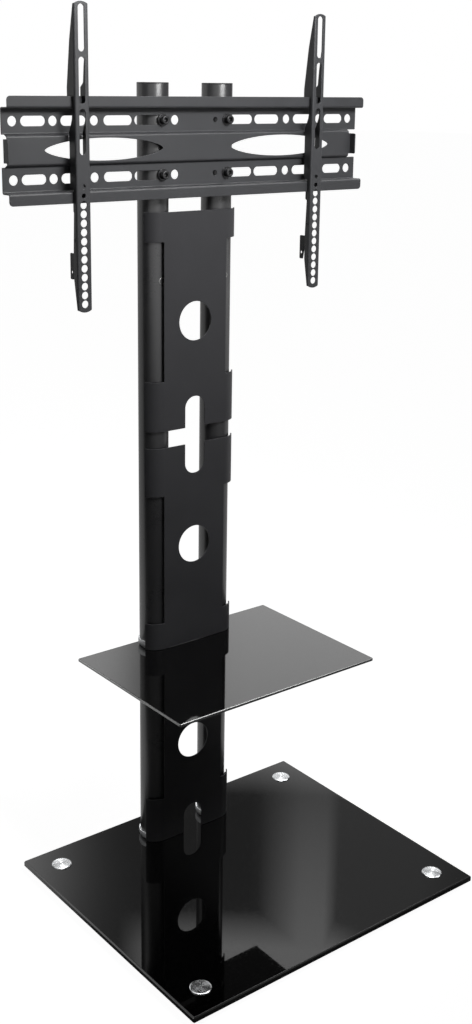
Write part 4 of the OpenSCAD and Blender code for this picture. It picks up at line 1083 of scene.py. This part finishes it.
class TVSTAND_OT_latches(bpy.types.Operator):
    """Makes the latch plates and their springs"""

    bl_idname = "tvstand.latches"
    bl_label = "Latches"

    def execute(self, context):
        s = context.scene.tv_stand.arms
        for name in ("left", "right"):
            self.plate(name)
            self.spring(s, name)
        return {"FINISHED"}

    def plate(self, name):
        """A flat cut sheet across the arm, with a tab for its spring: depth, height from the foot and radius."""
        low, high = ARMS[name]
        x, lip = (low[0] + high[0]) / 2 - LATCH_X, (RAIL[0, 2] - low[2]) / MM
        line = np.array([
            (2.5, 74.8, 2), (14.8, 74.8, 3), (19.8, 46.2, 1.5), (27.4, 46.2, 2), (27.4, 84.3, 2), (9.5, 84.3, 1.5),
            (9.5, lip - 17, 2), (16.5, lip - 13, 1.5), (16.5, lip + 4.5, 1.5), (12.37, lip + 8.5, 0.8),
            (10.3, lip + 8.5, 0.4), (10.3, lip - 2.5, 0.5), (7.7, lip - 2.5, 0.5), (7.7, lip + 28.5, 1),
            (14, lip + 28.5, 1.5), (14, lip + 64.5, 2), (2.5, lip + 64.5, 2)]) * MM
        holes = [circle((23.6 * MM, 56.7 * MM), 2.3 * MM, 32)]
        holes += [slot_loop((6 * MM, z * MM), (4.2 * MM, 14.2 * MM)) for z in (109, lip + 43.5)]
        spot = flat_place((x, low[1], low[2]), (0, 1, 0), (0, 0, 1), (1, 0, 0))
        shape = Shape().sheet(rounded(line[:, :2], line[:, 2], True, 5), holes, spot, 2 * MM, 0.35 * MM)
        tab = np.array([(0, 2.5), (12.3, 2.5), (12.3, 9.5), (0, 9.5)]) * MM
        loop = rounded(tab, np.array([0.2, 1.5, 1.5, 0.2]) * MM, True, 5)
        shape.sheet(loop, [], flat_place((x, low[1], low[2] + (lip + 57.5) * MM)), 2 * MM, 0.3 * MM)
        add_piece("catch_" + name, shape, "latch_paint", "latch_paint", "latch_" + name, body="latch_" + name)

    def spring(self, s, name):
        """A wire carried along a helix: (R cos w, R sin w, h(w)), whose pitch is small in the closed end turns."""
        node = "latch_spring_" + name
        low, high = box_of(node)
        centre = (low + high) / 2
        wire = s.wire / 2
        radius, turns, closed_turns = (high[0] - low[0]) / 2 - wire, 7.5, 0.9
        w = np.linspace(0, 1, int(turns * 24) + 1)
        speed = np.where((w < closed_turns / turns) | (w > 1 - closed_turns / turns), 0.28, 1.0)
        speed = np.convolve(np.pad(speed, 6, "edge"), np.ones(13) / 13, "valid")
        rise = np.concatenate([[0], np.cumsum((speed[1:] + speed[:-1]) / 2)])
        height = low[2] + wire + rise / rise[-1] * (high[2] - low[2] - 2 * wire)
        angle = 2 * np.pi * turns * w
        out = np.stack([np.cos(angle), np.sin(angle), 0 * angle], -1)
        line = radius * out + np.stack([0 * w + centre[0], 0 * w + centre[1], height], -1)
        around = full_turn(12)[:, None]
        points = line[:, None] + wire * (np.cos(around) * out[:, None] + np.sin(around) * np.array([0, 0, 1]))
        shape = Shape().grid(points, wrap_columns=True).cap(points[0]).cap(points[-1])
        piece = add_piece("spring_" + name, shape, "zinc", "spring_steel", node, body=None)
        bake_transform(piece)


class TVSTAND_OT_stage(bpy.types.Operator):
    """Makes the pale floor, the soft lights, the surroundings and the camera"""

    bl_idname = "tvstand.stage"
    bl_label = "Stage"

    # The fitted camera: picture size, focal length and the foot of its axis in pixels, and its angles
    PHOTO = (472, 1024)
    FOCAL = 1306.657
    CENTRE = (213.401, 431.322)
    YAW, PITCH, ROLL = 37.544, 14.698, 0.538
    EYE = (-1.210056, -1.474647, 1.268613)
    # Lamps: place, width, height and spread in degrees
    LAMPS = {"key": ((0.15, -0.88, 1.68), 0.6, 0.3, 105), "top": ((1.3, -1.5, 2.9), 1.6, 0.25, 60)}
    AIM = (0, 0.15, 1.3)
    # What glossy surfaces see of the floor: how bright it is behind the stand, more near it, and far in front
    BEHIND, NEAR, AHEAD = 0.45, 0.15, 1.3
    WAY_BEHIND, WAY_AHEAD = (0.469, 0.883), (0.26, -0.97)
    # What they see of the studio: brightness of its parts, and its soft patches, each with the azimuth and
    # rise of its middle, both spreads in degrees and its brightness
    DIM, RIGHT, WALL, AWAY, OTHER_RAYS = 0.05, 0.09, 1.6, 0.6, 0.035
    PATCHES = ((115, 50, 20, 10, 10), (40, 60, 10, 10, 16), (38, 63, 60, 12, 3.4), (-75, 42, 25, 15, 3),
               (30, 86, 90, 9, 25))
    WALL_SHADOW = (35.2, 25, 1.9, 6, 0.8)
    CEILING_PATCH = (27.5, 33, 3.2, 4, 1.3)

    def execute(self, context):
        scene = context.scene
        scene.view_settings.view_transform = "Standard"
        self.camera(scene)
        self.floor(scene.tv_stand.stage)
        self.lights(scene.tv_stand.stage)
        self.surroundings(scene)
        return {"FINISHED"}

    def camera(self, scene):
        """The camera's axes from its yaw, pitch and roll, and its lens from the focal length in pixels."""
        yaw, pitch, roll = (math.radians(v) for v in (self.YAW, self.PITCH, self.ROLL))
        ahead = np.array([math.sin(yaw) * math.cos(pitch), math.cos(yaw) * math.cos(pitch), -math.sin(pitch)])
        right = np.array([math.cos(yaw), -math.sin(yaw), 0])
        up = np.cross(right, ahead)
        right, up = (math.cos(roll) * right + math.sin(roll) * up, math.cos(roll) * up - math.sin(roll) * right)
        data = bpy.data.cameras.new("photo_camera")
        wide, tall = self.PHOTO
        data.sensor_width = 36
        data.lens = self.FOCAL / tall * data.sensor_width
        data.shift_x = (wide / 2 - self.CENTRE[0]) / tall
        data.shift_y = (self.CENTRE[1] - tall / 2) / tall
        data.clip_end = 100
        camera = bpy.data.objects.new("photo_camera", data)
        turn = Matrix([[right[i], up[i], -ahead[i]] for i in range(3)]).to_4x4()
        camera.matrix_world = Matrix.Translation(self.EYE) @ turn
        scene.collection.objects.link(camera)
        scene.camera = camera

    def floor(self, s):
        """A wide floor at height zero. The camera sees it lifted to white; its shadows stay."""
        made, g = new_finish("floor")
        seen = g.node("ShaderNodeLightPath", out="Is Camera Ray")
        gloss = g.node("ShaderNodeLightPath", out="Is Glossy Ray")
        place = g.position()
        x, y = g.parts(place)[:2]
        behind = step(y * self.WAY_BEHIND[1] + x * self.WAY_BEHIND[0], 0.0, 0.1)
        near = step(x * x + y * y, 2.0, -1.0)
        ahead = step(x * self.WAY_AHEAD[0] + y * self.WAY_AHEAD[1], 4.6, 2.5)
        mirrored = behind * (self.BEHIND + near * self.NEAR) + ahead * self.AHEAD
        tone = g.mix(g.noise(place, 1.5, 2.0, 0.5), opaque(s.floor, 0.99), opaque(s.floor, 1.01))
        diffuse = g.node("ShaderNodeBsdfDiffuse", {}, {"Color": tone})
        strength = seen * s.lift + gloss * mirrored
        lift = g.node("ShaderNodeEmission", {}, {"Color": opaque((1, 1, 1)), "Strength": strength})
        both = g.node("ShaderNodeAddShader", {}, {0: diffuse, 1: lift})
        g.node("ShaderNodeOutputMaterial", {}, {"Surface": both})
        data = bpy.data.meshes.new("floor")
        half = 30.0
        corners = [[-half, -half, 0], [half, -half, 0], [half, half, 0], [-half, half, 0]]
        data.from_pydata(corners, [], [[0, 1, 2, 3]])
        data.materials.append(made)
        ground = bpy.data.objects.new("floor", data)
        bpy.context.scene.collection.objects.link(ground)

    def lights(self, s):
        for name, (spot, wide, tall, spread) in self.LAMPS.items():
            data = bpy.data.lights.new(name, "AREA")
            data.shape, data.size, data.size_y, data.energy = "RECTANGLE", wide, tall, getattr(s, name)
            data.spread = math.radians(spread)
            lamp = bpy.data.objects.new(name, data)
            lamp.location = spot
            lamp.rotation_euler = (Vector(self.AIM) - Vector(spot)).to_track_quat("-Z", "Y").to_euler()
            bpy.context.scene.collection.objects.link(lamp)

    def surroundings(self, scene):
        """A white studio: brightness by direction for glossy rays, even for the rest, white for the camera.

        A wall of light reaches up to a rise of 29 degrees. Above it the ceiling is dark, but for a narrow
        strip, a high band and soft patches.
        """
        world = scene.world or bpy.data.worlds.new("studio")
        scene.world = world
        world.use_nodes = True
        g = Graph(world.node_tree)
        seen = g.node("ShaderNodeLightPath", out="Is Camera Ray")
        gloss = g.node("ShaderNodeLightPath", out="Is Glossy Ray")
        x, y, z = g.parts(g.node("ShaderNodeTexCoord", out="Generated"))
        azimuth = x.maths("ARCTAN2", x, y) * math.degrees(1)
        rise = z.maths("ARCSINE", z) * math.degrees(1)

        def patch(middle, height, wide, tall, bright):
            """A soft patch: bright e^-(u^2 + v^2), u and v being degrees off its middle over its spreads."""
            across, up = (azimuth - middle) / wide, (rise - height) / tall
            return math.e ** (0 - across * across - up * up) * bright

        wall = step(rise, 29, -1.2) * step(azimuth, 72, -8) * step(azimuth, -62, 5)
        wall = wall * (0.3 + 0.7 * step(rise, 15, 4)) * (1 - patch(*self.WALL_SHADOW))
        strip = step(azimuth, 41, 1.0) * step(azimuth, 43.6, -0.3)
        strip = strip * (0.2 + ((rise - 30) / 6).clamped() * 0.75) + step(azimuth, 41, 1.5) * 0.2
        high = step(rise, 35.5, 0.7) * step(azimuth, 45, -1.2) * step(azimuth, 34, 1) * 1.25
        ceiling = strip.maths("MAXIMUM", strip, high) + patch(*self.CEILING_PATCH)
        ceiling = ceiling * step(rise, 29, 1.2) * step(rise, 40, -3) * step(azimuth, 50, -2)
        away = (step(azimuth, 168, 8) + step(azimuth, -110, -12)) * step(rise, 34, -2)
        studio = self.DIM + step(azimuth, 75, -20) * self.RIGHT + wall * self.WALL + away * self.AWAY + ceiling
        for values in self.PATCHES:
            studio = studio + patch(*values)
        level = studio * gloss + self.OTHER_RAYS * (1 - gloss)
        strength = seen + (1 - seen) * level
        shade = g.node("ShaderNodeBackground", {}, {"Color": opaque((1, 1, 1)), "Strength": strength})
        g.node("ShaderNodeOutputWorld", {}, {"Surface": shade})


class TVSTAND_PT_pieces(bpy.types.Panel):
    """Lists the stand's pieces in the sidebar"""

    bl_idname = "TVSTAND_PT_pieces"
    bl_label = "TV stand"
    bl_space_type = "VIEW_3D"
    bl_region_type = "UI"
    bl_category = "TV stand"

    def draw(self, context):
        for maker in MAKERS:
            self.layout.operator(maker.bl_idname)
        for group in ("glass", "column", "covers", "rail", "arms", "stage"):
            box = self.layout.box()
            box.label(text=group.capitalize())
            settings = getattr(context.scene.tv_stand, group)
            for key in settings.__annotations__:
                box.prop(settings, key)


MAKERS = (TVSTAND_OT_stage, TVSTAND_OT_base, TVSTAND_OT_column, TVSTAND_OT_shelf, TVSTAND_OT_covers, TVSTAND_OT_rail,
          TVSTAND_OT_arms, TVSTAND_OT_latches)
GROUPS = (GlassSettings, ColumnSettings, CoverSettings, RailSettings, ArmSettings, StageSettings, StandSettings)


def register():
    for item in (*GROUPS, *MAKERS, TVSTAND_PT_pieces):
        bpy.utils.register_class(item)
    bpy.types.Scene.tv_stand = PointerProperty(type=StandSettings)


def unregister():
    del bpy.types.Scene.tv_stand
    for item in reversed((*GROUPS, *MAKERS, TVSTAND_PT_pieces)):
        bpy.utils.unregister_class(item)


def main():
    register()
    bpy.ops.tvstand.stage()
    bpy.ops.tvstand.base()
    bpy.ops.tvstand.column()
    bpy.ops.tvstand.shelf()
    bpy.ops.tvstand.covers()
    bpy.ops.tvstand.rail()
    bpy.ops.tvstand.arms()
    bpy.ops.tvstand.latches()


if __name__ == "__main__":
    main()
